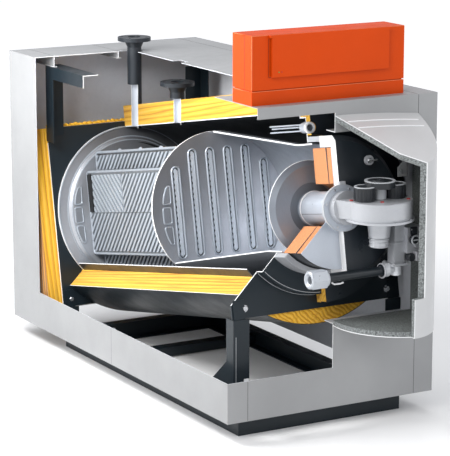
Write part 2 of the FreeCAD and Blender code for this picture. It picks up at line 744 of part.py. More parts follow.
def shell_insulation():
    """Two thick wool mats round the shell, pressed flat where they meet the casing's top."""
    inner = S.shell_radius + S.soft_gap
    ring = tube(FRONT_BACK + S.soft_gap, REAR_PLATE - S.soft_gap, inner, inner + S.insulation_wall)
    upper = turned("wool_mat", ring, 90)
    under_top = level_cutter("wool_level", UNDER_TOP - S.soft_gap)
    keep_boiler(cut("insulation_upper", upper, under_top, *pipe_bores("wool_bore")), "insulation_upper")
    keep_boiler(turned("insulation_lower", ring, CUT_WOOL - 90, start="side"), "insulation_lower")


def insulation_skin():
    """The dark sheet under the blanket."""
    inner = S.shell_radius + S.insulation_wall + S.soft_gap * 2
    ring = turned("skin_ring", tube(FRONT_BACK, REAR_PLATE, inner, inner + S.skin_wall), CUT_WOOL)
    reach = inner * 1.1
    upper = block("skin_upper", -OVER, FRONT_BACK - OVER, -S.shell_radius / 2, reach, REAR_PLATE + OVER, reach)
    keep_boiler(cut("insulation_skin", ring, upper), "insulation_skin")


def rear_insulation():
    """A flat wool mat behind the rear plate, with a hole round the flue connection."""
    near = REAR_PLATE + S.plate_wall + S.soft_gap
    mat = prism("mat_slab", "XZ", near, S.mat_wall,
                rectangle(-S.mat_half, -PLATE_LOW, S.mat_half, PLATE_HIGH))
    start = S.flue_height
    hole = doc.addObject("Part::Cylinder", "mat_hole")
    bind(hole, "Radius", S.flue_radius + S.soft_gap)
    bind(hole, "Height", S.bore_depth)
    hole.Placement = FreeCAD.Placement(FreeCAD.Vector(), FreeCAD.Rotation(FreeCAD.Vector(-1, 0, 0), 80))
    bind(hole, "Placement.Rotation.Angle", 90 - S.tilt)
    low_y = boiler_y(near, 0) - 100
    set_base(hole, 0, boiler_u(low_y, start), boiler_w(low_y, start))
    keep_boiler(cut("rear_insulation", mat, hole), "rear_insulation")


def flue_collar():
    """A plain round socket from the rear plate out through the casing, with a blind floor."""
    near = boiler_y(REAR_PLATE, 0) - S.flue_inside
    outer = rod("flue_outer", "Y", 0, near, S.flue_height, S.flue_radius, REAR + S.flue_length - near)
    far = REAR_PLATE + S.plate_wall
    over = S.flue_height + S.flue_radius - S.axis_height
    floor = S.axis_at + (far + over * SIN) / COS + S.flue_floor
    inner = rod("flue_inner", "Y", 0, floor, S.flue_height, S.flue_radius - S.flue_wall,
                REAR + S.flue_length + OVER - floor)
    plane = boiler_block("flue_plane", far - BLOCK)
    keep_casing(cut("flue_collar", outer, inner, plane), "flue_collar")


def front_insulation():
    """Wool over the door frame and the front plate, on the right half, with its dark cover."""
    wool = S.front_wool
    face, plate = -(S.front_plate_at + S.ring_step), -S.front_plate_at
    step, inner = RING_RADIUS + S.soft_gap, COLLAR_RADIUS + S.cover_gap
    outer = S.shell_radius + S.cover_margin
    gap = S.soft_gap
    steps = [(face - gap, inner), (face - gap, step), (plate - gap, step), (plate - gap, outer),
             (plate - wool, outer), (plate - wool, step + wool), (face - wool, step + wool),
             (face - wool, inner)]
    body = turned("front_wool", steps, 180)
    hole = rod("front_wool_hole", "Y", 0, face - wool - OVER, SENSOR_HEIGHT, S.sensor_radius + gap,
               wool + OVER * 2)
    keep_boiler(cut("front_insulation", body, hole), "front_insulation")
    out = S.cover_wall
    near, far = face - wool - gap, plate - wool - gap
    lid = [(near, inner), (near, step + wool + gap), (far, step + wool + gap), (far, outer),
           (far - out, outer), (far - out, step + wool + gap + out), (near - out, step + wool + gap + out),
           (near - out, inner)]
    body = turned("front_lid", lid, 180)
    hole = rod("front_lid_hole", "Y", 0, near - out - OVER, SENSOR_HEIGHT, S.sensor_radius + gap,
               out + OVER * 2)
    keep_boiler(cut("front_cover", body, hole), "front_cover")


# ---------------------------------------------------------------- chamber and exchanger

def chamber_cone():
    """The tapered combustion chamber, open on its upper left."""
    wall, neck = S.cone_wall, CONE_FRONT_RADIUS - S.cone_narrowing
    outline = [(-S.cone_front, CONE_FRONT_RADIUS), (-S.cone_neck, neck),
               (0, CONE_REAR_RADIUS), (0, CONE_REAR_RADIUS + wall),
               (-S.cone_neck, neck + wall), (-S.cone_front, CONE_FRONT_RADIUS + wall)]
    keep_boiler(turned("chamber_cone", outline, CUT_WOOL), "chamber_cone")


def slot_plate():
    """The disc between chamber and exchanger, with a row of upright slots."""
    body = new_body("slot_plate")
    sketch = new_sketch(body, "XZ", 0)
    draw_circle(sketch, 0, 0, SLOT_PLATE_RADIUS)
    pad(body, sketch, S.slot_plate_wall, "XZ")
    doc.recompute()
    last = SIZES["slots"] - 1
    pitch = (SLOT_PLATE_RADIUS * 2 - S.slot_margin) / last

    def slots(sketch):
        for index in range(SIZES["slots"]):
            middle = pitch * (index - last / 2) + S.slot_offset
            high = SLOT_PLATE_RADIUS - (S.slot_side_high if index in (0, last) else S.slot_high)
            half = S.slot_width / 2
            draw_outline(sketch, rectangle(middle - half, S.slot_low - SLOT_PLATE_RADIUS, middle + half, high))

    pocket(body, "XZ", slots)
    keep_boiler(body, "slot_plate")


def exchanger_pocket(name, x, low, high):
    """One flat water pocket of the exchanger, standing lengthways."""
    start, end = S.slot_plate_wall, REAR_DISC_FRONT - S.disc_depth
    return block(name, x - S.pocket_wall / 2, start, low, x + S.pocket_wall / 2, end, high)


def exchanger():
    """Flat pockets side by side: a low one at each side and taller ones between them."""
    sides = [exchanger_pocket("pocket_" + word, S.pocket_pitch * 4 * side, -S.pocket_low, S.pocket_edge)
             for word, side in SIDES]
    keep_boiler(fuse("exchanger_side_pockets", *sides), "exchanger_side_pockets")
    inner = []
    around = S.shell_radius - S.pocket_space
    reach = SIZES["pockets_inside"] // 2
    edge = S.pocket_pitch * (reach + 0.5)
    height = root(around * around - edge * edge)
    for index in range(-reach, reach + 1):
        inner.append(exchanger_pocket("pocket_%d" % (index + reach), S.pocket_pitch * index, -height, height))
    keep_boiler(fuse("exchanger_pockets", *inner), "exchanger_pockets")


# ---------------------------------------------------------------- door and burner

CUT_DOOR = S.insulation_cut + 90


def door():
    """Burner door: refractory ring, inner plate, insulation and outer dish.  The soft and
    outer layers are left on the right half only."""
    drop = S.burner_drop
    end = -S.refractory_end
    keep_boiler(turned("door_refractory", tube(end, -S.refractory_start, S.bore_radius, REFRACTORY_RADIUS),
                       CUT_DOOR), "door_refractory", drop)
    plate = end - S.door_plate_wall
    tube_hole = S.tube_radius + S.soft_gap
    keep_boiler(turned("door_plate", tube(plate, end, tube_hole, DOOR_PLATE_RADIUS), CUT_DOOR),
                "door_plate", drop)
    back, face = -S.dish_rim, -(S.dish_face - S.dish_wall)
    around = DISH_RADIUS - S.dish_wall - S.soft_gap
    wrap = DOOR_PLATE_RADIUS + S.soft_gap
    wool = [(plate - S.soft_gap, tube_hole), (plate - S.soft_gap, wrap), (back, wrap), (back, around),
            (face + S.dish_chamfer, around), (face + S.soft_gap, around - S.dish_chamfer),
            (face + S.soft_gap, tube_hole)]
    keep_boiler(turned("door_insulation", wool, 180), "door_insulation", drop)
    inside = DISH_RADIUS - S.dish_wall
    dish = [(face, tube_hole), (face, inside - S.dish_chamfer), (face + S.dish_chamfer, inside), (back, inside),
            (back, DISH_RADIUS), (S.dish_chamfer - S.dish_face, DISH_RADIUS),
            (-S.dish_face, DISH_RADIUS - S.dish_chamfer), (-S.dish_face, tube_hole)]
    keep_boiler(turned("door_dish", dish, 180), "door_dish", drop)
    ring = tube(S.soft_gap - S.dish_rim, -(S.front_plate_at + S.ring_step), COLLAR_RADIUS - S.collar_wall,
                COLLAR_RADIUS)
    keep_boiler(turned("door_collar", ring, CUT_DOOR), "door_collar")


def burner():
    """Mesh dome, dished disc, air tube and the flange that the fan is bolted to."""
    drop = S.burner_drop
    at, wall = -S.burner_disc_at, S.burner_disc_wall
    outer, core = S.tube_radius, S.tube_radius - S.tube_wall
    disc_radius = CONE_FRONT_RADIUS - S.burner_disc_space
    rim, dished = disc_radius - S.burner_disc_rim, at + S.burner_disc_dish
    disc = [(at, core), (at, rim), (dished, disc_radius), (dished + wall, disc_radius),
            (at + wall, rim), (at + wall, core)]
    keep_boiler(turned("burner_disc", disc), "burner_disc", drop)
    tube_end = -S.dish_face
    far = tube_end - S.burner_flange_wall
    outline = [(at, core), (at, outer), (tube_end, outer), (tube_end, (S.tube_radius + S.burner_flange_rim)),
               (far, (S.tube_radius + S.burner_flange_rim)), (far, core)]
    keep_boiler(turned("burner_tube", outline), "burner_tube", drop)
    start, radius, depth, skin = at + wall, S.dome_radius, S.dome_depth, S.dome_wall
    outside = [(start + depth * along, radius * share) for along, share in DOME_SHAPE]
    within = [(a - skin, r - skin) for a, r in outside[1:]]
    dome = outside + [(start + depth, 0), (start + depth - skin, 0)] + within[::-1]
    dome.append((start, radius - skin))
    keep_boiler(turned("burner_dome", dome), "burner_dome", drop)


def door_handle():
    """A round knob on a short shank on the door's face."""
    face = -S.dish_face
    end = face - S.handle_length
    height = DISH_RADIUS - S.handle_margin
    shank = rod("handle_shank", "Y", S.handle_x, end + SEAM, height, S.handle_shank, S.handle_length - SEAM)
    head = rod("handle_head", "Y", S.handle_x, end, height, S.handle_radius, S.handle_head)
    keep_boiler(fuse("door_handle", shank, head), "door_handle")


# ---------------------------------------------------------------- fan and gas train

def fan():
    """A flat scroll with an upright shaft, blowing through a short neck into the burner."""
    drop = -S.burner_drop
    start = -S.dish_face - S.burner_flange_wall
    low, high = S.fan_z - S.fan_height / 2, S.fan_z + S.fan_height / 2
    mouth = boiler_y(start - S.neck_length / 2, drop)
    x, y = S.fan_x, -S.fan_y
    neck = rod("fan_neck", "Y", 0, boiler_y(start - S.neck_length, drop),
               boiler_z(start - S.neck_length, drop), S.tube_radius, S.neck_length)
    neck.Placement = FreeCAD.Placement(neck.Placement.Base, FreeCAD.Rotation(FreeCAD.Vector(-1, 0, 0), 100))
    bind(neck, "Placement.Rotation.Angle", 90 + S.tilt)
    throat = prism("fan_throat", "XY", low, S.fan_height, [
        (-S.throat_half, mouth), (x - S.fan_radius + SEAM, y), (x, y - S.fan_radius / 2),
        (x + S.fan_radius / 2, y), (S.throat_half + S.throat_spread, mouth)])
    scroll = rod("fan_scroll", "Z", x, y, low, S.fan_radius, S.fan_height)
    foot = rod("fan_foot", "Z", x, y, low - S.fan_flange, S.fan_radius + S.fan_flange_rim, S.fan_flange)
    bottom = low - S.fan_flange
    flat_back = boiler_block("fan_back", start - S.fan_clearance)
    scroll = cut("fan_case", fuse("fan_round", throat, scroll, foot), flat_back)
    keep_casing(fuse("fan_housing", neck, scroll), "fan_housing")
    post = rod("motor_post", "Z", x, y, high, S.motor_post, S.motor_height + SEAM)
    cap = rod("motor_cap", "Z", x, y, high + S.motor_height, S.motor_cap, S.motor_cap_height)
    drums = [rod("motor_drum_%s" % word, "Z", x + side * S.motor_spread, y, high, S.motor_drum,
                 S.motor_height + S.drum_rise) for word, side in (("left", -1), ("right", 1))]
    keep_casing(fuse("fan_motor", post, cap, *drums), "fan_motor")
    funnel = cone("inlet_funnel", x, y, bottom - S.inlet_height, S.inlet_bottom, S.inlet_top, S.inlet_height)
    mouth_ring = rod("inlet_mouth", "Z", x, y, bottom - S.inlet_height - S.mouth_height,
                     S.inlet_bottom - S.mouth_step, S.mouth_height + SEAM)
    keep_casing(fuse("fan_inlet", funnel, mouth_ring), "fan_inlet")
    return bottom


def gas_train(fan_bottom):
    """Square mixing duct under the scroll, gas valve beside it, and the gas pipe that comes
    from the left with a union on its end."""
    x, y, half, z = S.duct_x, -S.fan_y, S.duct_half, S.gas_z
    duct = block("duct_box", x - half, y - half, S.duct_low, x + half, y + half, fan_bottom)
    foot = block("duct_foot", x - S.duct_foot, y - S.duct_foot, S.duct_low - S.duct_foot_wall,
                 x + S.duct_foot, y + S.duct_foot, S.duct_low)
    keep_casing(fuse("mixing_duct", duct, foot), "mixing_duct")
    side, low = x + half, S.valve_low
    valve_body = block("valve_box", side, y - S.valve_depth / 2, low, side + S.valve_width,
                       y + S.valve_depth / 2, low + S.valve_height)
    centre, nut_top = side + S.valve_width / 2, low - S.stub_length + SEAM * 2
    collar = rod("valve_stub", "Z", centre, y, low - S.stub_length, S.stub_radius, S.stub_length + SEAM)
    nut = block("valve_nut", centre - S.nut_left, y - S.nut_half, nut_top - S.nut_height,
                centre + S.nut_right, y + S.nut_half, nut_top)
    knob = rod("valve_knob", "Y", side + S.valve_width * S.knob_place,
               y - S.valve_depth / 2 - S.knob_length, low + S.valve_height * S.knob_level,
               S.knob_radius, S.knob_length + SEAM)
    keep_casing(fuse("gas_valve", valve_body, collar, nut, knob), "gas_valve")
    run = rod("gas_run", "X", -S.gas_start, y, z, S.gas_pipe_radius, x + S.gas_start)
    elbow = rod("gas_elbow", "Z", x, y, z - S.elbow_radius, S.elbow_radius,
                S.duct_low - S.duct_foot_wall - z + S.elbow_radius)
    socket = rod("gas_socket", "X", x - S.duct_foot - S.socket_length - OVER, y, z, S.socket_radius,
                 S.socket_length)
    bore = rod("gas_bore_hole", "X", -S.gas_start - OVER, y, z, S.gas_bore, S.gas_start + x)
    keep_casing(cut("gas_pipe", fuse("gas_pipe_outside", run, elbow, socket), bore), "gas_pipe")
    corner, across = S.union_size, S.union_size * math.cos(math.radians(30))
    body = prism("union_hexagon", "YZ", -S.gas_start - S.union_length + S.union_grip, S.union_length, [
        (y - corner, z), (y - corner / 2, z + across), (y + corner / 2, z + across), (y + corner, z),
        (y + corner / 2, z - across), (y - corner / 2, z - across)])
    through = rod("union_through", "X", -S.gas_start - S.union_length, y, z, S.union_bore, S.union_length * 2)
    grip = rod("union_socket", "X", -S.gas_start, y, z, S.gas_pipe_radius + S.pin_fit, S.union_length)
    keep_casing(cut("gas_union", body, through, grip), "gas_union")


# ---------------------------------------------------------------- flow and return pipes

def water_pipe(label, y, top, cut_height):
    """An upright pipe with a neck and a flange, cut in half lengthways below the cut height."""
    low = crown(S.shell_radius, y) - S.pipe_sink
    neck = top - S.flange_wall
    outline = [(low, S.pipe_bore), (low, S.pipe_radius), (neck - S.neck_height, S.pipe_radius),
               (neck, S.neck_radius), (neck, S.flange_radius), (top, S.flange_radius), (top, S.pipe_bore)]
    body = turned(label, outline, axis="Z")
    reach = S.flange_circle / 2 * math.sqrt(0.5)

    def bolt_holes(sketch):
        for a, b in ((1, 1), (-1, 1), (-1, -1), (1, -1)):
            draw_circle(sketch, a * reach, b * reach, S.flange_hole / 2)

    pocket(body, "XY", bolt_holes)
    radius = S.flange_radius + OVER
    pocket(body, "YZ", lambda sketch: draw_outline(sketch, rectangle(-radius, low - OVER, radius, cut_height)),
           one_way=True)
    keep_casing(body, label)
    bind(body, "Placement.Base.y", y - MIDDLE)


def sensor_pocket():
    """A round pocket over the door with three long sensors in it."""
    face = -(S.front_plate_at + S.ring_step)
    start, w = face - S.sensor_length / 2, SENSOR_HEIGHT
    socket = rod("sensor_socket", "Y", 0, start, w, S.sensor_radius - S.soft_gap, S.sensor_length)
    hollow = rod("sensor_hollow", "Y", 0, start - OVER, w, S.sensor_bore,
                 S.sensor_length - S.sensor_base + OVER)
    rods = [rod("sensor_rod_%d" % index, "Y", across, start + S.sensor_length - S.rod_root, w + up,
                S.rod_radius, S.rod_length) for index, (across, up) in enumerate(SENSOR_PLACES)]
    keep_boiler(fuse("sensor_pocket", cut("sensor_cup", socket, hollow), *rods), "sensor_pocket")


# ---------------------------------------------------------------- control unit

def control_unit():
    """Base and housing with a groove between them, and a front flap hung on two pins."""
    half, front, back = S.control_width / 2, S.control_front, S.control_front + S.control_depth
    foot, groove, top = TOP + S.control_foot, S.control_groove, TOP + S.control_height
    keep_casing(prism("control_base", "XY", TOP, S.control_foot, rectangle(-half, front, half, back)),
                "control_base")
    inset = S.groove_depth
    neck = block("control_neck", inset - half, front + inset, foot, half - inset, back - inset,
                 foot + groove + SEAM)
    upper = block("control_box", -half, front, foot + groove, half, back, top)
    reach = S.flap_gap + S.flap_wall
    pin_y, pin_z = front - S.flap_gap - S.flap_wall / 2, top - S.flap_wall / 2
    lugs, holes = [], []
    near = S.flap_half + S.lug_gap
    far = near + S.lug_width
    for word, low, high in (("left", -far, -near), ("right", near, far)):
        lugs.append(block("flap_lug_" + word, low, front - reach, top - S.flap_wall, high, front + SEAM, top))
        holes.append(rod("flap_hole_" + word, "X", low - OVER, pin_y, pin_z, S.pin_radius + S.pin_fit,
                         S.lug_width + OVER * 2))
    keep_casing(cut("control_housing", fuse("control_solid", neck, upper, *lugs), *holes), "control_housing")
    low = top - S.flap_height
    plate = block("flap_plate", -S.flap_half, front - reach, low, S.flap_half, front - S.flap_gap, pin_z)
    roll = rod("flap_roll", "X", -S.flap_half, pin_y, pin_z, S.flap_wall / 2, S.flap_half * 2)
    pin = rod("flap_pin", "X", -S.flap_half - S.lug_width, pin_y, pin_z, S.pin_radius,
              (S.flap_half + S.lug_width) * 2)
    keep_casing(fuse("control_flap", plate, roll, pin), "control_flap")


# ---------------------------------------------------------------- hood

def size(alias):
    return float(sheet.get(alias))


def hood_solid(inset, low):
    """The hood's outside moved in by `inset`: a flat front with elliptical corners, under a
    sloping top with a slight crown."""
    half, depth, corner = size("hood_half") - inset, size("hood_depth") - inset, size("hood_corner") - inset
    flat = half - corner
    wire = []
    for side in (-1, 1):
        centre = FreeCAD.Vector(side * flat, 0, low)
        ends = (centre + FreeCAD.Vector(side * corner, 0, 0), centre - FreeCAD.Vector(0, depth, 0))
        ellipse = Part.Ellipse(ends[1], ends[0], centre)
        start, end = sorted(ellipse.parameter(point) for point in ends)
        wire.append(ellipse.toShape(start, end))
    wire.append(Part.makeLine(FreeCAD.Vector(-half, 0, low), FreeCAD.Vector(half, 0, low)))
    wire.append(Part.makeLine(FreeCAD.Vector(-flat, -depth, low), FreeCAD.Vector(flat, -depth, low)))
    face = Part.Face(Part.Wire(Part.__sortEdges__(wire)))
    prism_shape = face.extrude(FreeCAD.Vector(0, 0, size("hood_high") - low))
    slope = math.radians(size("hood_slope"))
    along = FreeCAD.Vector(0, math.cos(slope), math.sin(slope))
    up = FreeCAD.Vector(0, -math.sin(slope), math.cos(slope))
    radius = size("hood_crown") - inset
    reach = 2 * size("hood_depth")
    start = FreeCAD.Vector(0, 0, size("hood_high")) - up * size("hood_crown") - along * reach
    return prism_shape.common(Part.makeCylinder(radius, 2 * reach, start, along))


def hood_cutters():
    """What is taken away from the hood: above, all left of a bent line across the top; below,
    all left of a curved edge across the floor."""
    reach, deep = size("hood_half") * 1.1, size("hood_depth") * 1.2
    level = size("hood_cut_z")
    height = size("hood_high") - size("hood_low")
    high_x, low_x = size("hood_cut_x"), size("hood_low_cut_x")
    depth = size("hood_depth")
    upper = [(-reach, OVER), (0, OVER), (0, 0), (size("hood_bend_x"), -size("hood_bend_y")),
             (high_x, -size("hood_cut_y")), (high_x, -deep), (-reach, -deep), (-reach, OVER)]
    solids = [Part.Face(Part.makePolygon([FreeCAD.Vector(x, y, level) for x, y in upper])).extrude(
        FreeCAD.Vector(0, 0, height))]
    bottom = level - height
    middle, end = [FreeCAD.Vector(low_x * right, -depth * out, bottom) for right, out in FLOOR_CUT]
    arc = Part.Arc(FreeCAD.Vector(0, OVER, bottom), middle, end).toShape()
    rest = Part.makePolygon([end] + [FreeCAD.Vector(x, y, bottom) for x, y in (
        (low_x, -deep), (-reach, -deep), (-reach, OVER), (0, OVER))])
    solids.append(Part.Face(Part.Wire([arc] + rest.Edges)).extrude(FreeCAD.Vector(0, 0, height)))
    return solids


def own_shape(label, shape):
    thing = doc.addObject("Part::Feature", label)
    thing.Shape = shape
    keep_casing(thing, label)


def hood():
    """Sheet hood over the burner and its foam lining, both cut away to their right side."""
    sheet_wall, foam = size("hood_sheet"), size("foam_wall")
    low = size("hood_low")
    gap = size("soft_gap")
    cutters = hood_cutters()
    outer = hood_solid(0, low).cut(hood_solid(sheet_wall, low + sheet_wall))
    lining = hood_solid(sheet_wall + gap, low + sheet_wall + gap)
    lining = lining.cut(hood_solid(sheet_wall + foam, low + sheet_wall + foam))
    own_shape("hood_sheet", outer.cut(cutters))
    own_shape("hood_foam", lining.cut(cutters))


# ---------------------------------------------------------------- run

base_frame()
base_cross_member()
legs()
leg_brackets()
uprights()
rails()
side_panels()
rear_panel()
front_panel()
top_panels()
rear_plate()
front_plate()
door_frame()
outer_shell()
rear_disc()
shell_insulation()
insulation_skin()
rear_insulation()
flue_collar()
front_insulation()
chamber_cone()
slot_plate()
exchanger()
door()
burner()
door_handle()
gas_train(fan())
water_pipe("flow_pipe", FLOW_AT, FLOW_TOP, FLOW_TOP - S.flow_cut)
water_pipe("return_pipe", RETURN_AT, RETURN_TOP, RETURN_TOP - S.return_cut)
sensor_pocket()
control_unit()
hood()
doc.recompute()


def check_and_write():
    faults = [item.Label for item in doc.Objects if "Invalid" in item.State or "Error" in item.State]
    for node in NODES:
        if node.Shape.isNull() or not node.Shape.isValid():
            faults.append(node.Label + " shape")
    if faults:
        raise RuntimeError("not built: " + ", ".join(faults))
    os.makedirs("parts", exist_ok=True)
    for node in NODES:
        node.Shape.exportStep("parts/%s.step" % node.Label)
    print(len(NODES), "sub-parts written")


check_and_write()
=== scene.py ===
import bmesh
import bpy
import json
import math
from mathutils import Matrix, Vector
from mathutils.bvhtree import BVHTree


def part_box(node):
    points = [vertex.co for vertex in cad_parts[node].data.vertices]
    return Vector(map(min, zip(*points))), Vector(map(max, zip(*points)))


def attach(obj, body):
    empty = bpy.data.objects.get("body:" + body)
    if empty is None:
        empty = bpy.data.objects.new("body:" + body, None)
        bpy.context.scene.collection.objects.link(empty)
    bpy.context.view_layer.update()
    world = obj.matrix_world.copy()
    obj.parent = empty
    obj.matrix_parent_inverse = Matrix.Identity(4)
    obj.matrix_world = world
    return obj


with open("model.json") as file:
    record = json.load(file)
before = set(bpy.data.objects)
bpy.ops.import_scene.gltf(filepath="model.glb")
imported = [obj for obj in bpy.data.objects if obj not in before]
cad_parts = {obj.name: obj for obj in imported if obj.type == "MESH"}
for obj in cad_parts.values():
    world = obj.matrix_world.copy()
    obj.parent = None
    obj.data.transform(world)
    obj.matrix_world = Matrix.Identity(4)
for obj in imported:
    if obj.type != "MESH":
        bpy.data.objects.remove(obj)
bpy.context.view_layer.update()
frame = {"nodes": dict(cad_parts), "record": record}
nodes = frame["nodes"]

# ---- places
# Casing places are in millimetres: x across, y from the casing's front, z from the floor.
# Boiler places (x, u, w) follow the tilted body: u to the rear along its axis, w square to it.

MIDDLE = 798.0                    # from the casing's front to the frame's origin
TILT = math.radians(10.5)         # the boiler body leans down to the rear
AT, HEIGHT = 845.0, 691.0         # a point of its axis
BACK, TOP, SIDE = 1856.0, 1232.0, 450.0   # the casing's rear, top and side faces


def place(x, y, z):
    return Vector((x, y - MIDDLE, z)) / 1000


def inside(x, u, w):
    y = AT + u * math.cos(TILT) + w * math.sin(TILT)
    z = HEIGHT - u * math.sin(TILT) + w * math.cos(TILT)
    return place(x, y, z)


X, Y, Z = Vector((1, 0, 0)), Vector((0, 1, 0)), Vector((0, 0, 1))
U = Vector((0, math.cos(TILT), -math.sin(TILT)))
W = Vector((0, math.sin(TILT), math.cos(TILT)))


# ---- materials

class Finish:
    """A node material built up step by step."""

    def __init__(self, name):
        self.material = bpy.data.materials.new(name)
        self.material.use_nodes = True
        self.tree = self.material.node_tree
        self.shader = self.tree.nodes["Principled BSDF"]
        self.where = self.tree.nodes.new("ShaderNodeTexCoord").outputs["Object"]

    def node(self, kind, **values):
        new = self.tree.nodes.new("ShaderNode" + kind)
        for key, value in values.items():
            if hasattr(new, key):
                setattr(new, key, value)
            else:
                self.put(new.inputs[key.replace("_", " ")], value)
        return new

    def put(self, socket, value):
        if isinstance(value, bpy.types.NodeSocket):
            self.tree.links.new(value, socket)
        elif isinstance(value, (tuple, list)) and len(value) == 3 and socket.type == "RGBA":
            socket.default_value = (*value, 1)
        else:
            socket.default_value = value

    def scaled(self, scale, turn=(0, 0, 0)):
        """The place on the object, turned and then stretched."""
        turned = self.node("Mapping", vector_type="TEXTURE", Vector=self.where, Rotation=turn)
        return self.node("Mapping", Vector=turned.outputs[0], Scale=scale).outputs[0]

    def noise(self, scale, detail, rough=0.5, at=None, bend=0.0):
        new = self.node("TexNoise", Scale=scale, Detail=detail, Roughness=rough, Distortion=bend)
        self.put(new.inputs["Vector"], at or self.where)
        return new.outputs["Fac"]

    def grains(self, scale):
        return self.node("TexVoronoi", Scale=scale, Vector=self.where).outputs["Distance"]

    def ramp(self, factor, *stops):
        new = self.node("ValToRGB")
        band = new.color_ramp
        while len(band.elements) < len(stops):
            band.elements.new(0.5)
        for element, (position, colour) in zip(band.elements, stops):
            element.position = position
            element.color = (*colour, 1) if isinstance(colour, tuple) else (colour, colour, colour, 1)
        self.put(new.inputs[0], factor)
        return new.outputs[0]

    def mix(self, factor, first, second, blend="MIX"):
        new = self.node("Mix", data_type="RGBA", blend_type=blend)
        self.put(new.inputs[0], factor)
        self.put(new.inputs[6], first)
        self.put(new.inputs[7], second)
        return new.outputs[2]

    def maths(self, operation, first, second, clamp=False):
        new = self.node("Math", operation=operation, use_clamp=clamp)
        self.put(new.inputs[0], first)
        self.put(new.inputs[1], second)
        return new.outputs[0]

    def vectors(self, operation, first, second=None):
        new = self.node("VectorMath", operation=operation)
        self.put(new.inputs[0], first)
        if second is not None:
            self.put(new.inputs[1], second)
        return new.outputs

    def bump(self, height, strength, distance, below=None):
        new = self.node("Bump", Strength=strength, Distance=distance, Height=height)
        if below:
            self.put(new.inputs["Normal"], below)
        return new.outputs[0]

    def outward(self):
        """How far a face looks away from the boiler body's axis, from -1 to 1."""
        here = self.node("NewGeometry").outputs
        away = self.vectors("SUBTRACT", here["Position"], inside(0, 0, 0))[0]
        along = self.vectors("PROJECT", away, U)[0]
        square = self.vectors("SUBTRACT", away, along)[0]
        unit = self.vectors("NORMALIZE", square)[0]
        return self.vectors("DOT_PRODUCT", unit, here["True Normal"])["Value"]

    def done(self, colour, rough, normal=None, **uniform):
        self.put(self.shader.inputs["Base Color"], colour)
        self.put(self.shader.inputs["Roughness"], rough)
        if normal:
            self.put(self.shader.inputs["Normal"], normal)
        for key, value in uniform.items():
            self.shader.inputs[key.replace("_", " ")].default_value = value
        return self.material


def shade(colour, factor):
    return tuple(channel * factor for channel in colour)


def painted(name, colour, rough=0.42, peel=0.25, change=0.12, inner=None, **uniform):
    """Sprayed paint: a faint orange-peel surface, slow changes of tone, and dust in places.
    With an inner colour, faces that look towards the boiler's middle take it: painted light, a brighter tone
    for the shaded inside of the same sheet."""
    f = Finish(name)
    slow = f.noise(2.3, 4, 0.55)
    tone = f.ramp(slow, (0.3, shade(colour, 1 - change)), (0.7, shade(colour, 1 + change * 0.4)))
    # painted light: inside faces take the inner colour in place of the paint's, to lift the shade there
    if inner:
        here = f.node("NewGeometry").outputs
        away = f.vectors("SUBTRACT", here["Position"], place(0, 930, 650))[0]
        facing = f.vectors("DOT_PRODUCT", away, here["True Normal"])["Value"]
        outside = f.maths("GREATER_THAN", facing, 0.0)
        dark = f.ramp(f.noise(1.6, 3, 0.5), (0.3, shade(inner, 0.75)), (0.7, shade(inner, 1.2)))
        tone = f.mix(outside, dark, tone)
    dust = f.ramp(f.noise(38, 6, 0.65), (0.46, 0.0), (0.72, 0.1))
    tone = f.mix(dust, tone, shade(colour, 0.86))
    roughness = f.ramp(f.noise(11, 5, 0.6), (0.3, rough * 0.85), (0.7, min(rough * 1.25, 1)))
    normal = f.bump(f.noise(620, 2, 0.5), peel, 0.0006)
    return f.done(tone, roughness, normal, **uniform)


def metal(name, colour, rough, stretch=(60, 60, 4), shine=0.5, change=0.08, fine=0.25, shading_fade=None):
    """Rolled or brushed metal: fine lines along one direction, cloudy tone, faint smears. A fade is painted
    shade and light: two places and the tones along the way between them, dark where the sheet should look
    shaded and bright where it should look lit."""
    f = Finish(name)
    lines = f.noise(6, 6, 0.7, at=f.scaled(stretch))
    clouds = f.noise(5.5, 4, 0.6)
    tone = f.ramp(clouds, (0.3, shade(colour, 1 - change)), (0.72, shade(colour, 1 + change)))
    tone = f.mix(f.ramp(lines, (0.35, 0.0), (0.75, 0.35)), tone, shade(colour, 0.72))
    # painted shade and light: the tone is multiplied by a ramp from dark to bright between the two places
    if shading_fade:
        start, end, tones = shading_fade
        way = end - start
        along = f.vectors("DOT_PRODUCT", f.where, way / way.length_squared)["Value"]
        share = f.maths("SUBTRACT", along, start.dot(way) / way.length_squared)
        stops = [(i / (len(tones) - 1), value) for i, value in enumerate(tones)]
        tone = f.mix(1.0, tone, f.ramp(share, *stops), "MULTIPLY")
    smear = f.ramp(f.noise(16, 6, 0.7), (0.3, rough * 0.8), (0.75, min(rough * 1.45, 1)))
    normal = f.bump(lines, fine, 0.0004)
    return f.done(tone, smear, normal, Metallic=shine)


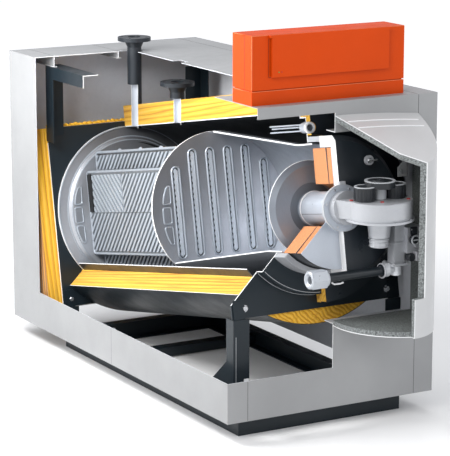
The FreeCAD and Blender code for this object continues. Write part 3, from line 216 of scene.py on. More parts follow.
def mineral_wool(name, light, deep, brown, stretch=(46, 1.7, 46)):
    """Wool with long wavy layers, bright where it is cut and brown on its outer face."""
    f = Finish(name)
    grain = f.scaled(stretch, (-TILT, 0, 0))
    wave = f.node("TexWave", wave_type="BANDS", bands_direction="DIAGONAL", Scale=0.62, Distortion=8.0,
                  Detail=2.0, Detail_Scale=0.75, Detail_Roughness=0.45, Vector=grain)
    layers = wave.outputs["Fac"]
    slow = f.noise(0.5, 2, 0.5, at=grain)
    strands = f.noise(1.6, 4, 0.6, at=grain, bend=0.2)
    pale = tuple(min(1.0, c * 1.08 + 0.05) for c in light)
    tone = f.ramp(layers, (0.0, deep), (0.22, light), (0.7, light), (1.0, pale))
    tone = f.mix(f.ramp(slow, (0.35, 0.5), (0.6, 0.0)), tone, light)
    tone = f.mix(f.ramp(strands, (0.34, 0.45), (0.5, 0.0)), tone, deep)
    outer = f.maths("GREATER_THAN", f.outward(), 0.6)
    hide = f.ramp(layers, (0.0, shade(brown, 0.6)), (0.5, brown), (1.0, shade(brown, 1.5)))
    tone = f.mix(outer, tone, hide)
    fluff = f.noise(240, 6, 0.8)
    normal = f.bump(fluff, 0.45, 0.002, below=f.bump(layers, 0.5, 0.003))
    roughness = f.ramp(fluff, (0.3, 0.82), (0.7, 1.0))
    return f.done(tone, roughness, normal, Sheen_Weight=0.15, Sheen_Roughness=0.6)


def grainy(name, colour, grain, spread, rough, depth, patched=0.0):
    """Fibre, foam or cast refractory: small grains of a lighter and a darker tone."""
    f = Finish(name)
    small = f.noise(grain, 5, 0.75)
    tone = f.ramp(small, (0.32, shade(colour, 1 - spread)), (0.5, colour), (0.7, shade(colour, 1 + spread)))
    patches = f.ramp(f.noise(14, 5, 0.6), (0.35, 0.0), (0.7, 0.3 + patched))
    tone = f.mix(patches, tone, shade(colour, 0.8))
    pits = f.grains(grain * 0.6)
    normal = f.bump(pits, depth, 0.0012, below=f.bump(small, depth, 0.0009))
    return f.done(tone, f.ramp(small, (0.3, rough * 0.85), (0.7, min(1.0, rough * 1.1))), normal)


def two_tone(name, first, second, where, rough):
    """Paint on one part of a node and bare bright metal on another; where(finish) gives 0 or 1."""
    f = Finish(name)
    share = where(f)
    slow = f.noise(5, 4, 0.55)
    dark = f.ramp(slow, (0.3, shade(first, 0.8)), (0.7, shade(first, 1.35)))
    bright = f.ramp(slow, (0.3, shade(second, 0.85)), (0.7, shade(second, 1.1)))
    roughness = f.ramp(f.noise(14, 5, 0.6), (0.3, rough * 0.85), (0.7, rough * 1.25))
    return f.done(f.mix(share, dark, bright), roughness, f.bump(f.noise(520, 2), 0.2, 0.0005), Metallic=0.25)


WATER_PIPES = (1576, 1198)
BORE_REACH, BORE_TOP = 0.0285, 1.10   # between the pipes' inner and outer radius; metres from the floor
FITTING_START = 0.1125                # where the gas pipe's elbow begins, in metres


def water_way(f):
    """The bores of the two water pipes, up to the flanges' necks."""
    x, y, z = f.node("SeparateXYZ", Vector=f.where).outputs
    near = []
    for pipe in WATER_PIPES:
        along = f.maths("SUBTRACT", y, place(0, pipe, 0).y)
        square = f.maths("ADD", f.maths("MULTIPLY", along, along), f.maths("MULTIPLY", x, x))
        near.append(f.maths("LESS_THAN", square, BORE_REACH ** 2))
    below = f.maths("LESS_THAN", z, BORE_TOP)
    return f.maths("MULTIPLY", f.maths("ADD", near[0], near[1], clamp=True), below)


def fitting_end(f):
    """The right end of the gas pipe, from its socket on."""
    return f.maths("GREATER_THAN", f.node("SeparateXYZ", Vector=f.where).outputs[0], FITTING_START)


WOOL = (0.70, 0.38, 0.010), (0.44, 0.17, 0.003), (0.33, 0.14, 0.012)   # cut face, deep layers, outer face
FINISH = {
    # the inner colour is painted light: the casing's inside faces are brighter than its paint, to lift the
    # shade inside
    "casing_sheet": painted("casing_paint", (0.31, 0.315, 0.32), 0.38, inner=(0.60, 0.62, 0.66)),
    "control_orange": painted("control_plastic", (0.62, 0.060, 0.002), 0.45, peel=0.3, change=0.1,
                              Specular_IOR_Level=0.12),
    "frame_paint": painted("frame_black", (0.009, 0.016, 0.022), 0.36, peel=0.12, change=0.2,
                           Specular_IOR_Level=0.35),
    "mineral_wool": mineral_wool("wool", *WOOL),
    "dark_cover": painted("cover_black", (0.014, 0.019, 0.025), 0.32, peel=0.1, change=0.2,
                          Specular_IOR_Level=0.4),
    "stainless": metal("stainless_sheet", (0.46, 0.48, 0.53), 0.42, shine=0.55, change=0.1),
    "burner_steel": metal("burner_bright", (0.50, 0.54, 0.60), 0.34, stretch=(60, 5, 60), shine=0.4,
                          change=0.05, fine=0.12),
    "refractory": grainy("refractory_block", (0.60, 0.245, 0.10), 230, 0.4, 0.85, 0.5),
    "white_fibre": grainy("fibre_board", (0.74, 0.745, 0.75), 300, 0.05, 0.95, 0.15),
    "fan_metal": metal("cast_aluminium", (0.46, 0.475, 0.50), 0.42, stretch=(60, 60, 60), shine=0.45,
                       change=0.06, fine=0.12),
    "dark_plastic": painted("motor_black", (0.014, 0.017, 0.021), 0.36, peel=0.6),
    "valve_metal": metal("valve_cast", (0.52, 0.53, 0.56), 0.40, stretch=(70, 70, 70), shine=0.45,
                         change=0.06, fine=0.12),
    "gas_steel": metal("gas_zinc", (0.50, 0.53, 0.57), 0.32, stretch=(30, 60, 60), change=0.05, fine=0.05),
    "pipe_steel": two_tone("pipe_primer", (0.016, 0.020, 0.025), (0.62, 0.66, 0.72), water_way, 0.34),
    "hood_paint": painted("hood_grey", (0.52, 0.525, 0.53), 0.34),
    "hood_foam": grainy("acoustic_foam", (0.17, 0.185, 0.18), 190, 0.8, 0.96, 0.9, 0.2),
}

# finishes beside those of the slots: for the pieces made here, and for some nodes
# white for the cut faces; also used for painted highlights on the burner's rims, the hood's ridges and the
# sensor pocket's rim
WHITE_EDGE = painted("section_white", (0.80, 0.81, 0.82), 0.45, change=0.05)
GAS_PIPE = two_tone("gas_pipe_paint", (0.010, 0.014, 0.018), (0.62, 0.64, 0.67), fitting_end, 0.30)
WOOL_ACROSS = mineral_wool("wool_across", *WOOL, (1.7, 46, 46))
WOOL_TRIM = mineral_wool("wool_trim", (0.84, 0.47, 0.012), (0.58, 0.24, 0.004), (0.84, 0.47, 0.012))
WOOL_UPRIGHT = mineral_wool("wool_upright", *WOOL, (46, 46, 1.7))
# light grey: for a few light parts, and for light lines that are painted highlights on the door's ring and
# cover and on the motor's rims
LIGHT_EDGE = painted("edge_grey", (0.42, 0.44, 0.46), 0.4, change=0.08)
# painted shade: near-black for the dark in slots, a recess and the fan's inlet, and for a shadow on the rear
# disc
RECESS_SHADE = painted("painted_recess_shade", (0.004, 0.005, 0.006), 0.6, change=0.3)
LIGHT_PAD = metal("pad_steel", (0.26, 0.275, 0.30), 0.38)
RIBBON = metal("ribbon_steel", (0.62, 0.67, 0.73), 0.4, shine=0.3)
RIB = metal("rib_steel", (0.40, 0.44, 0.49), 0.36, shine=0.45)
ZINC = metal("bolt_zinc", (0.62, 0.63, 0.65), 0.26, stretch=(50, 50, 50), shine=0.9, change=0.16)
SEAM = painted("seam_grey", (0.10, 0.10, 0.105), 0.5)
RED = painted("mark_red", (0.40, 0.012, 0.008), 0.35)
LAMP_GREEN = painted("lamp_green", (0.05, 0.35, 0.06), 0.3)
LAMP_RED = painted("lamp_red", (0.45, 0.02, 0.01), 0.3)
FOAM_CUT = grainy("foam_section", (0.20, 0.215, 0.215), 150, 1.0, 0.96, 0.9, 0.1)
EXCHANGER = metal("exchanger_steel", (0.15, 0.165, 0.18), 0.42, shine=0.4, change=0.1)
# the fades of these four are painted shade and light: each runs from dark at its first place, high up, to
# lighter towards its second, lower down
PLATE = metal("plate_steel", (0.50, 0.52, 0.56), 0.36,
              shading_fade=(inside(-330, 0, 250), inside(250, 0, -200), (0.30, 0.42, 0.8, 1.25, 0.7)))
DISC_STEEL = metal("disc_steel", (0.48, 0.50, 0.54), 0.40,
                   shading_fade=(inside(120, 0, 340), inside(-260, 0, -260), (0.24, 0.42, 0.62, 0.8, 0.95)))
DISC_FACE = metal("disc_face", (0.34, 0.38, 0.44), 0.38, shine=0.35, change=0.05, fine=0.1,
                  shading_fade=(inside(-130, 0, 150), inside(90, 0, -170), (0.35, 0.7, 1.0, 1.25)))
CONE_IN = metal("cone_inner", (0.46, 0.49, 0.54), 0.38, change=0.06,
                shading_fade=(inside(-100, 0, 330), inside(200, 0, -330), (0.35, 0.5, 0.85, 1.25, 1.0)))
SHADOW_GREY = painted("shadow_grey", (0.12, 0.14, 0.165), 0.42, change=0.2, Metallic=0.3)
SHELL_IN = painted("shell_grey", (0.05, 0.055, 0.062), 0.36, change=0.2, Metallic=0.4)


# ---- building blocks

CREASE = math.radians(35)


def link(name, bm, finish):
    """An object of the mesh that was built up. The finish is a material, or a slot's name for its own."""
    mesh = bpy.data.meshes.new(name)
    bm.to_mesh(mesh)
    bm.free()
    mesh.materials.append(FINISH[finish] if isinstance(finish, str) else finish)
    piece = bpy.data.objects.new(name, mesh)
    bpy.context.scene.collection.objects.link(piece)
    return piece


class Maker:
    """Collects the parts of one piece; sizes in millimetres, places in metres. After made() it is
    empty again, for the next piece."""

    def __init__(self):
        self.bm = bmesh.new()

    def skin(self, rings, ends=True):
        """Joins rings of points into a closed body: with two end faces, or back to the first ring."""
        rows = [[self.bm.verts.new(point) for point in row] for row in rings]
        count = len(rows[0])
        pairs = list(zip(rows, rows[1:])) + ([] if ends else [(rows[-1], rows[0])])
        for first, second in pairs:
            for i in range(count):
                j = (i + 1) % count
                self.bm.faces.new((first[i], first[j], second[j], second[i]))
        if ends:
            self.bm.faces.new(rows[0][::-1])
            self.bm.faces.new(rows[-1])
        return self

    def prism(self, outline, to, near, far):
        return self.skin([[to(a, b, level) for a, b in outline] for level in (near, far)])

    def box(self, low, high, to=place):
        outline = [(low[0], low[1]), (high[0], low[1]), (high[0], high[1]), (low[0], high[1])]
        return self.prism(outline, to, low[2], high[2])

    def turn(self, profile, at, axis, side, start=0.0, sweep=360.0, steps=64):
        """Turns a closed outline of (along the axis, radius) round the axis."""
        other = axis.cross(side)
        full = sweep > 359.9
        rings = []
        for i in range(steps if full else steps + 1):
            angle = math.radians(start + sweep * i / steps)
            out = side * math.cos(angle) + other * math.sin(angle)
            rings.append([at + (axis * a + out * r) / 1000 for a, r in profile])
        return self.skin(rings, ends=not full)

    def bar(self, points, radius, sides=8, closed=False):
        """A round bar through the points."""
        count = len(points)
        side = None
        rings = []
        for i, point in enumerate(points):
            before = points[i - 1] if closed or i else points[0]
            after = points[(i + 1) % count] if closed or i < count - 1 else points[-1]
            ahead = (after - before).normalized()
            side = side if side is not None else ahead.orthogonal()
            side = (side - ahead * side.dot(ahead)).normalized()
            other = ahead.cross(side)
            rings.append([point + (side * math.cos(a) + other * math.sin(a)) * radius / 1000
                          for a in (2 * math.pi * k / sides for k in range(sides))])
        return self.skin(rings, ends=not closed)

    def bolt(self, at, axis, size, height, washer=True):
        """A hexagon head, size being half its width, on a round washer."""
        side = axis.orthogonal().normalized()
        base = 0.0
        if washer:
            base = size * 0.18
            self.turn([(0, 0), (0, size * 1.35), (base, size * 1.3), (base, 0)], at, axis, side, steps=24)
        top = base + height
        self.turn([(base - 0.1, 0), (base - 0.1, size), (top - size * 0.12, size), (top, size * 0.86),
                   (top, 0)], at, axis, side, steps=6)
        return self

    def made(self, name, finish, slot, bevel=None, body="boiler", segments=2):
        """Ends the piece. With no bevel given it is a round one and shaded smooth; a flat-sided piece
        gives how far its edges are rounded, or 0."""
        bmesh.ops.remove_doubles(self.bm, verts=self.bm.verts, dist=1e-6)
        bmesh.ops.recalc_face_normals(self.bm, faces=self.bm.faces)
        piece = link(name, self.bm, finish)
        self.bm = bmesh.new()
        if bevel is None:
            piece.data.shade_smooth()
            piece.data.set_sharp_from_angle(angle=CREASE)
        if bevel:
            rounding = piece.modifiers.new("rounding", "BEVEL")
            rounding.width = bevel / 1000
            rounding.segments = segments
            rounding.limit_method = "ANGLE"
            rounding.angle_limit = CREASE
        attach(piece, body)


COAT = 0.4    # how far a coat stands out from its faces


def overlay(name, finish, tests):
    """A thin coat of real mesh over those faces of CAD nodes whose middle and normal pass a test."""
    bm = bmesh.new()
    for node, wanted in tests:
        mesh = nodes[node].data
        for face in mesh.polygons:
            if wanted(face.center, face.normal):
                bm.faces.new([bm.verts.new(mesh.vertices[v].co) for v in face.vertices])
    bmesh.ops.remove_doubles(bm, verts=bm.verts, dist=1e-6)
    piece = link(name, bm, finish)
    coat = piece.modifiers.new("coat", "SOLIDIFY")
    coat.thickness = 2 * COAT / 1000
    coat.offset = 0
    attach(piece, "boiler")


def radial(centre):
    """The unit vector from the boiler body's axis to a point."""
    away = centre - inside(0, 0, 0)
    away = away - U * away.dot(U)
    return away.normalized()


def across(centre, normal):
    """True for a face of a turned sheet where it is cut lengthways."""
    return abs(normal.dot(U)) < 0.2 and abs(normal.dot(radial(centre))) < 0.35


def spot(angle, radius, u, drop=0.0):
    """A point round the boiler body's axis, or round a line below it; the angle is from the top."""
    a = math.radians(angle)
    return inside(radius * math.sin(a), u, drop + radius * math.cos(a))


def ring(radius, u, drop=0.0, start=0.0, sweep=360.0, steps=96):
    """Points of a ring, or of an arc."""
    count = steps if sweep > 359.9 else steps + 1
    return [spot(start + sweep * i / steps, radius, u, drop) for i in range(count)]


def band(first, last, inner, outer):
    """The outline, for Maker.turn, of a plain ring between two places and two radii."""
    return [(first, inner), (first, outer), (last, outer), (last, inner)]


def tile(left, low, right, high, radius):
    """A rectangle with rounded corners."""
    return rounded([(left, low), (right, low), (right, high), (left, high)], radius)


def upright(a, b, d):
    """For outlines drawn on an upright sheet: across, up, and from the front."""
    return place(a, d, b)


def stadium(middle, half, low, high, steps=10):
    """An upright slot outline with round ends."""
    outline = []
    for centre, turn in ((high - half, 0.0), (low + half, math.pi)):
        for i in range(steps + 1):
            a = turn + math.pi * i / steps
            outline.append((middle + half * math.cos(a), centre + half * math.sin(a)))
    return outline


def rounded(points, radius, steps=4):
    """The outline with its corners rounded."""
    result = []
    count = len(points)
    for i, corner in enumerate(points):
        corner = Vector(corner)
        before = Vector(points[i - 1]) - corner
        after = Vector(points[(i + 1) % count]) - corner
        reach = min(radius, before.length * 0.45, after.length * 0.45)
        start, end = corner + before.normalized() * reach, corner + after.normalized() * reach
        for k in range(steps + 1):
            s = k / steps
            result.append(tuple(start * (1 - s) ** 2 + corner * 2 * s * (1 - s) + end * s ** 2))
    return result


# ---- section edges

REAR_PLATE_END = -0.367                       # in metres; the rear plate's left edge lies beyond it
HOOD_CUT = (0, 0), (125, -236), (222, -308)   # a bent line close to the hood's cut, seen from above


def away_from_axis(centre, normal):
    """True for the turned outer edge of a flat disc or plate."""
    return abs(normal.dot(U)) < 0.2 and normal.dot(radial(centre)) > 0.9


def hood_cut(centre, normal):
    """True for a face of the hood's cut: it looks to the left, close to the bent line or low down."""
    if normal.x >= -0.25 or centre.x >= 0.24 or abs(normal.z) >= 0.3:
        return False
    here = Vector((centre.x * 1000, centre.y * 1000 + MIDDLE))
    reach = [abs(here.x)]
    for start, end in zip(HOOD_CUT, HOOD_CUT[1:]):
        way = (Vector(end) - Vector(start)).normalized()
        reach.append(abs((here - Vector(start)).cross(way)))
    return centre.z > 0.53 and min(reach) < 6 or centre.z < 0.54 and here.x < 160


def section_edges():
    overlay("section_frame", WHITE_EDGE, [
        ("front_plate", lambda c, n: abs(n.dot(U)) < 0.2 and across(c, n) and c.x < 0.001),
        ("door_frame", across), ("shell_lower", across), ("shell_upper", lambda c, n: n.x < -0.9),
        ("insulation_skin", lambda c, n: across(c, n) and c.x < 0),
        ("shoulder_rails", lambda c, n: n.y < -0.9),
        ("rear_plate", lambda c, n: n.x < -0.9 and c.x < REAR_PLATE_END),
    ])
    overlay("section_casing", WHITE_EDGE, [
        ("casing_top_left", lambda c, n: n.y < -0.9),
        ("casing_top_middle", lambda c, n: n.y < -0.9 and c.y > 0),
        ("casing_front", lambda c, n: n.x < -0.9 and -0.003 < c.x < 0.003),
    ])
    overlay("section_stainless", WHITE_EDGE, [
        ("chamber_cone", across),
        ("slot_plate", away_from_axis),
        ("rear_disc", lambda c, n: away_from_axis(c, n) and c.x < 0.05),
    ])
    overlay("section_hood", WHITE_EDGE, [("hood_sheet", hood_cut)])
    overlay("section_foam", FOAM_CUT, [("hood_foam", hood_cut)])
    overlay("section_door", WHITE_EDGE, [("door_dish", across)])
    overlay("refractory_jacket", SHELL_IN, [
        ("door_refractory", lambda c, n: n.dot(radial(c)) > 0.8 and (c - inside(0, 0, 0)).dot(U) < 0)])
    overlay("section_pipes", WHITE_EDGE, [
        (pipe, lambda c, n: n.x < -0.99 and abs(c.x) < 0.001) for pipe in ("flow_pipe", "return_pipe")])


# ---- rear disc and exchanger

DISC = 763.9                            # the rear disc's rim, along the axis
DISC_FIELD = DISC - 14                  # its pressed-in middle
SIDE_FACE, INNER_FACE = -211.0, -161.0  # the left walls of the exchanger's two rows of pockets


def disc_rings():
    m = Maker()
    for radius, level, size in ((350, -1, 3.2), (309, 0, 3.0), (294, -12, 2.6)):
        m.bar(ring(radius, DISC + level, steps=120), size, closed=True)
    m.made("disc_rings", RIB, "stainless")
    # painted shadow: a dark crescent in the disc's upper right
    steps, radius, start, sweep, half = 24, 283, 8, 52, 5.5
    there = [(radius, 1, i) for i in range(steps + 1)]
    back = [(radius, -1, i) for i in range(steps, -1, -1)]
    outline = []
    for middle, sign, i in there + back:
        angle = math.radians(start + sweep * i / steps)
        reach = middle + sign * half * math.sin(math.pi * i / steps)
        outline.append((reach * math.sin(angle), reach * math.cos(angle)))
    m.prism(outline, lambda a, b, d: inside(a, DISC_FIELD - d, b), -1, 0.8)
    m.made("disc_crescent", RECESS_SHADE, "stainless", bevel=0)


def pads(name, left, right, top, bottom, u):
    """Three embossed pads one over the other, each a rounded rim round a raised field."""
    rim, field = Maker(), Maker()
    height, wide, gap = (top - bottom) / 3, right - left, 7
    shapes = (
        [(left + wide * 0.05, top - height + gap), (left + wide * 0.22, top - height * 0.5),
         (left + wide * 0.62, top - 2), (right, top), (right - 2, top - height + gap)],
        [(left, bottom + height + gap), (left, top - height - gap), (right - 3, top - height - gap),
         (right - 3, bottom + height + gap)],
        [(left + wide * 0.05, bottom + height - gap), (right - 2, bottom + height - gap), (right, bottom),
         (left + wide * 0.62, bottom + 2), (left + wide * 0.22, bottom + height * 0.5)],
    )
    for shape in shapes:
        rim.bar([inside(a, u - 2.0, b) for a, b in rounded(shape, 9)], 3.2, closed=True)
        middle = (left + right) / 2, sum(b for a, b in shape) / len(shape)
        smaller = [(a * 0.86 + middle[0] * 0.14, b * 0.9 + middle[1] * 0.1) for a, b in shape]
        field.prism(rounded(smaller, 8), lambda a, b, d: inside(a, u - d, b), -0.5, 3.5)
    rim.made(name + "_rims", RIB, "stainless")
    field.made(name + "_fields", LIGHT_PAD, "stainless", bevel=1.4)


RIB_PITCH, RIB_WIDTH, RIB_HEIGHT = 33.0, 17.0, 5.5


def ribs(m, x, start, end, low, high, first=20, leaning=1):
    """Ribs at 45 degrees on an upright wall that looks to -X: a field from start to end along the
    axis and from low to high across it. They lean to the front, or to the rear where leaning is -1."""
    rise = high - low
    for index in range(-1, int((end - start + rise) / RIB_PITCH) + 2):
        edges = []
        for foot in (first + index * RIB_PITCH, first + index * RIB_PITCH + RIB_WIDTH):
            edges.append((foot, foot - rise)[::leaning])
        (foot, head), (next_foot, next_head) = edges
        outline = clip([(foot, low), (next_foot, low), (next_head, high), (head, high)], start, end)
        if len(outline) > 2:
            m.prism(outline, lambda a, b, d: inside(x - d, a, b), -0.6, RIB_HEIGHT)


def clip(outline, low, high):
    """The part of an outline between two values of its first coordinate."""
    for limit, keep in ((low, lambda a: a >= low), (high, lambda a: a <= high)):
        result = []
        for i, point in enumerate(outline):
            before = outline[i - 1]
            if keep(before[0]) != keep(point[0]):
                share = (limit - before[0]) / (point[0] - before[0])
                result.append((limit, before[1] + share * (point[1] - before[1])))
            if keep(point[0]):
                result.append(point)
        outline = result
        if not outline:
            return []
    clean = []
    for point in outline:
        if not clean or (Vector(point) - Vector(clean[-1])).length > 0.5:
            clean.append(point)
    if len(clean) > 1 and (Vector(clean[0]) - Vector(clean[-1])).length < 0.5:
        clean.pop()
    return clean


def exchanger_ribs():
    m = Maker()
    ribs(m, SIDE_FACE, 24, 740, -160, -2)
    ribs(m, SIDE_FACE, 24, 425, 2, 160)
    ribs(m, INNER_FACE, 24, 742, 178, 240)
    ribs(m, INNER_FACE, 24, 742, -240, -178)
    m.made("exchanger_ribs", RIB, "stainless", bevel=2.2)
    ribs(m, SIDE_FACE, 430, 702, 2, 160, first=440, leaning=-1)
    m.made("exchanger_patch", RIB, "stainless", bevel=2.2)
    # round edges of the two rows, and three small bows on the inner one
    near, far = 12, 748
    for x, low, high in ((SIDE_FACE, -172, 173), (INNER_FACE, -252, 252)):
        m.bar([inside(x + 1, a, b) for a, b in tile(near, low, far, high, 14)], 5.5, sides=10, closed=True)
    for u in (150, 330, 520):
        bow = [(u + 26 * i / 6, 251 + 7 * math.sin(math.pi * i / 6)) for i in range(7)]
        m.bar([inside(INNER_FACE + 6, a, b) for a, b in bow], 6)
    m.made("exchanger_edges", RIB, "stainless")
    # painted shade: a near-black block standing for the dark in the slot
    m.box((710, 4, -0.5), (742, 164, 6.5), lambda a, b, d: inside(SIDE_FACE - d, a, b))
    m.made("exchanger_slot", RECESS_SHADE, "stainless", bevel=0.6)


# ---- slot plate

PLATE_RADIUS = 304
SLOTS, SLOT_PITCH, SLOT_SHIFT = 6, (PLATE_RADIUS * 2 - 203) / 5, 16
SLOT_LOW, SLOT_HIGH, OUTER_SLOT_HIGH = 118 - PLATE_RADIUS, PLATE_RADIUS - 65, PLATE_RADIUS - 128
SCALLOP = 22    # length of one wave of the ribbon's edge


def slot_details():
    """Each slot's raised rim, the ribbon with one scalloped edge in it, and the dark behind, which is painted
    shade.
    """
    rims, walls, dark = Maker(), Maker(), Maker()
    to = lambda a, b, d: inside(a, -d, b)
    for index in range(SLOTS):
        middle = SLOT_PITCH * (index - (SLOTS - 1) / 2) + SLOT_SHIFT
        low, high = SLOT_LOW, OUTER_SLOT_HIGH if index in (0, SLOTS - 1) else SLOT_HIGH
        outer, inner = stadium(middle, 22, low - 4, high + 4), stadium(middle, 13.5, low + 1.5, high - 1.5)
        crest = stadium(middle, 18, low - 1, high + 1)
        rims.skin([[to(a, b, level) for a, b in line] for line, level in
                   ((outer, -1), (outer, 1.2), (crest, 4.5), (inner, 2.2), (inner, -5))], ends=False)
        # painted shade: a near-black plate deep in the slot
        dark.prism(inner, to, -7.4, -6.2)
        steps = int((high - low) / 3)
        top, bottom = high - 6, low + 6
        left, right = [], []
        for k in range(steps + 1):
            w = bottom + (top - bottom) * k / steps
            end = min(1.0, min(k, steps - k) / 3)
            wave = abs(math.sin(math.pi * (w - bottom) / SCALLOP))
            left.append((middle - 4 - 4.5 * wave * end, w))
            right.append((middle + 4 + 7.5 * end, w))
        walls.prism(left + right[::-1], to, -6.4, -1.8)
    rims.made("slot_rims", RIB, "stainless")
    walls.made("slot_walls", RIBBON, "stainless", bevel=2.0, segments=3)
    dark.made("slot_shades", RECESS_SHADE, "stainless", bevel=0.3)


# ---- burner and door

DROP = -10.0           # the burner sits this far below the axis
TUBE = 62.2            # just outside the air tube
FLANGE = -919.4        # the front of the tube's flange, along the axis


def burner_details():
    m = Maker()
    # painted highlights: white rings on the disc's outer rim and round the tube's rim
    m.bar(ring(178, -689, DROP), 2.4, closed=True)
    m.bar(ring(64, -722, DROP), 2.0, closed=True)
    m.made("burner_rim_highlights", WHITE_EDGE, "burner_steel")
    m.turn(band(-1.2, 0.4, 66, 96), inside(0, -705, DROP), U, W, steps=72)
    m.made("burner_shadow_ring", SHADOW_GREY, "burner_steel", bevel=0.4)
    m.bar([spot(255, TUBE, u, DROP) for u in (-715, -810, -900)], 1.1)
    m.made("tube_seam", SEAM, "burner_steel")
    m.turn(band(-4.5, -16, 84.2, 86), inside(0, -905, DROP), U, W, steps=72)
    m.made("flange_band", LIGHT_EDGE, "burner_steel")
    # bolts round the flange, and a lug on its top
    for angle in (25, 75, 155, 205, 285, 335):
        m.bolt(spot(angle, 74, FLANGE, DROP), -U, 4.5, 3.5, washer=False)
    m.made("flange_bolts", ZINC, "burner_steel")
    m.prism(rounded([(-6, 80), (-6, 97), (20, 97), (20, 80)], 4),
            lambda a, b, d: inside(a, FLANGE + d, DROP + b), 0.5, 13)
    m.made("flange_lug", "fan_metal", "burner_steel", bevel=1.5)


def door_details():
    # joint between the refractory's two courses, on both faces of the wedge that is cut out
    m = Maker()
    for angle in (-1.0, 228.2):
        m.turn(band(-1.2, 1.2, 91, 223.6), inside(0, -838, DROP), U, W, start=angle, sweep=0.8, steps=2)
    m.made("refractory_joint", SEAM, "refractory", bevel=0.2)
    # painted highlights: light lines where the raised ring meets the front plate, and on the front cover
    for radius, u in ((332, -679.5), (322, -716.2)):
        m.bar(ring(radius, u, start=181, sweep=46, steps=24), 1.1)
    m.made("ring_lines", LIGHT_EDGE, "frame_paint")
    m.bar(ring(353, -709.5, start=120, sweep=58, steps=24), 1.1)
    m.made("cover_line", LIGHT_EDGE, "dark_cover")
    # dark sheet over the blanket's front edge on the right
    m.turn(band(0, -1.6, 369, 440), inside(0, -672.6, 0), U, W, start=20, sweep=104, steps=40)
    m.made("blanket_cover", "dark_cover", "dark_cover", bevel=0.4)


def hood_details():
    """Two ridges across the hood's top, laid on its sheet from the cut to the right side; their white is a
    painted highlight.
    """
    mesh = nodes["hood_sheet"].data
    surface = BVHTree.FromPolygons([v.co for v in mesh.vertices], [tuple(f.vertices) for f in mesh.polygons])
    (cut_x, cut_y), right, steps, above = HOOD_CUT[1], 335, 40, 1400
    m = Maker()
    for y in (-42, -80):
        start = y * cut_x / cut_y + 6
        points = []
        for i in range(steps + 1):
            x = start + (right - start) * i / steps
            hit = surface.ray_cast(place(x, y, above), -Z)[0]
            if hit:
                points.append(hit + Z * 0.0003)
        m.bar(points, 2.6, sides=10)
    # painted highlights: the ridges are white
    m.made("hood_ridges", WHITE_EDGE, "hood_paint")


GAS_Y, GAS_Z = -150, 620             # the gas pipe's middle
UNION_X, ELBOW_X, DUCT_X = -196, 108, 173


def gas_details():
    m = Maker()
    centre = place(UNION_X, GAS_Y, GAS_Z)
    m.turn([(-0.1, 15.4), (-5, 20.5), (-7, 23), (-7, 29), (-4, 32.5), (-0.1, 33)], centre, X, Z, steps=48)
    m.turn([(62, 24.2), (62, 29), (65, 30.5), (69, 29), (69, 24.2)], centre, X, Z, steps=48)
    m.made("union_rings", "gas_steel", "gas_steel")
    elbow = place(ELBOW_X, GAS_Y, GAS_Z)
    m.turn([(0, 24.2), (0, 28), (3, 29), (6, 28), (6, 24.2)], elbow, X, Z, steps=40)
    m.turn(band(0, 5, 21.3, 25), place(DUCT_X, GAS_Y, 632), Z, X, steps=40)
    m.made("elbow_rings", "valve_metal", "gas_steel")
    m.bar([place(*point) for point in ((-92, -131, 603), (-90, -133, 594), (-84, -137, 590), (-60, -139, 590),
                                       (-48, -140, 593))], 3.2, sides=10)
    m.made("pipe_hook", WHITE_EDGE, "gas_steel")
    for dx in (-30, 30):
        for dy in (-30, 30):
            m.bolt(place(DUCT_X + dx, GAS_Y + dy, 645), Z, 4.5, 4, washer=False)
    m.box((150, -173.2, 724), (196, -172.2, 726))
    m.made("duct_bolts", ZINC, "fan_metal")
    # the valve's recess, dial, coil, plug and screws, from its left and front faces
    left, front = 195, -206
    m.prism(tile(left + 1, 754, left + 31, 784, 4), upright, front - 1.5, front + 2)
    m.prism(tile(left + 8, 761, left + 25, 776, 3), upright, front - 5, front)
    m.made("valve_recess", "dark_plastic", "valve_metal", bevel=1.0)
    dial = place(left + 20, front - 3, 735)
    m.turn([(-4, 0), (-4, 13), (-3, 17), (3, 18.5), (12, 18.5), (12, 0)], dial, Y, Z, steps=40)
    m.made("valve_dial", "dark_plastic", "valve_metal")
    m.turn([(-5, 13.6), (-6, 15), (-5, 17.4), (-3, 18.6), (-3, 13.6)], dial, Y, Z, steps=40)
    m.box((-11, -2.2, 3.5), (11, 2.2, 7), lambda a, b, d: dial + (X * a + Z * b - Y * d) / 1000)
    m.made("valve_dial_rim", LIGHT_EDGE, "valve_metal")
    for profile, back in (([(0, 0), (0, 15), (-22, 15), (-24, 13), (-24, 0)], 28), (band(26, 0, 0, 13), 2)):
        m.turn(profile, place(left + 14, front + back, 668), Y, Z, steps=32)
    m.made("valve_coil", "dark_plastic", "valve_metal")
    m.prism(tile(left + 26, 655, left + 56, 689, 5), upright, front - 8, front + 20)
    m.turn([(-2, 0), (-2, 8), (0, 9), (0, 0)], place(left + 41, front - 8, 672), Y, Z, steps=24)
    m.made("valve_plug", "valve_metal", "valve_metal", bevel=1.2)
    for dx in (6, 40, 62):
        for dz in (10, 60, 92):
            m.bolt(place(left + dx, front, 682 + dz), -Y, 3.0, 2.2, washer=False)
    m.made("valve_screws", ZINC, "valve_metal")


FAN_X, FAN_Y = 98, -150     # the fan's upright axis
FAN_TOP, INLET_END = 888, 714
DRUM, DRUM_AWAY = 38.4, 66  # the motor's side drums: radius, and distance from the axis


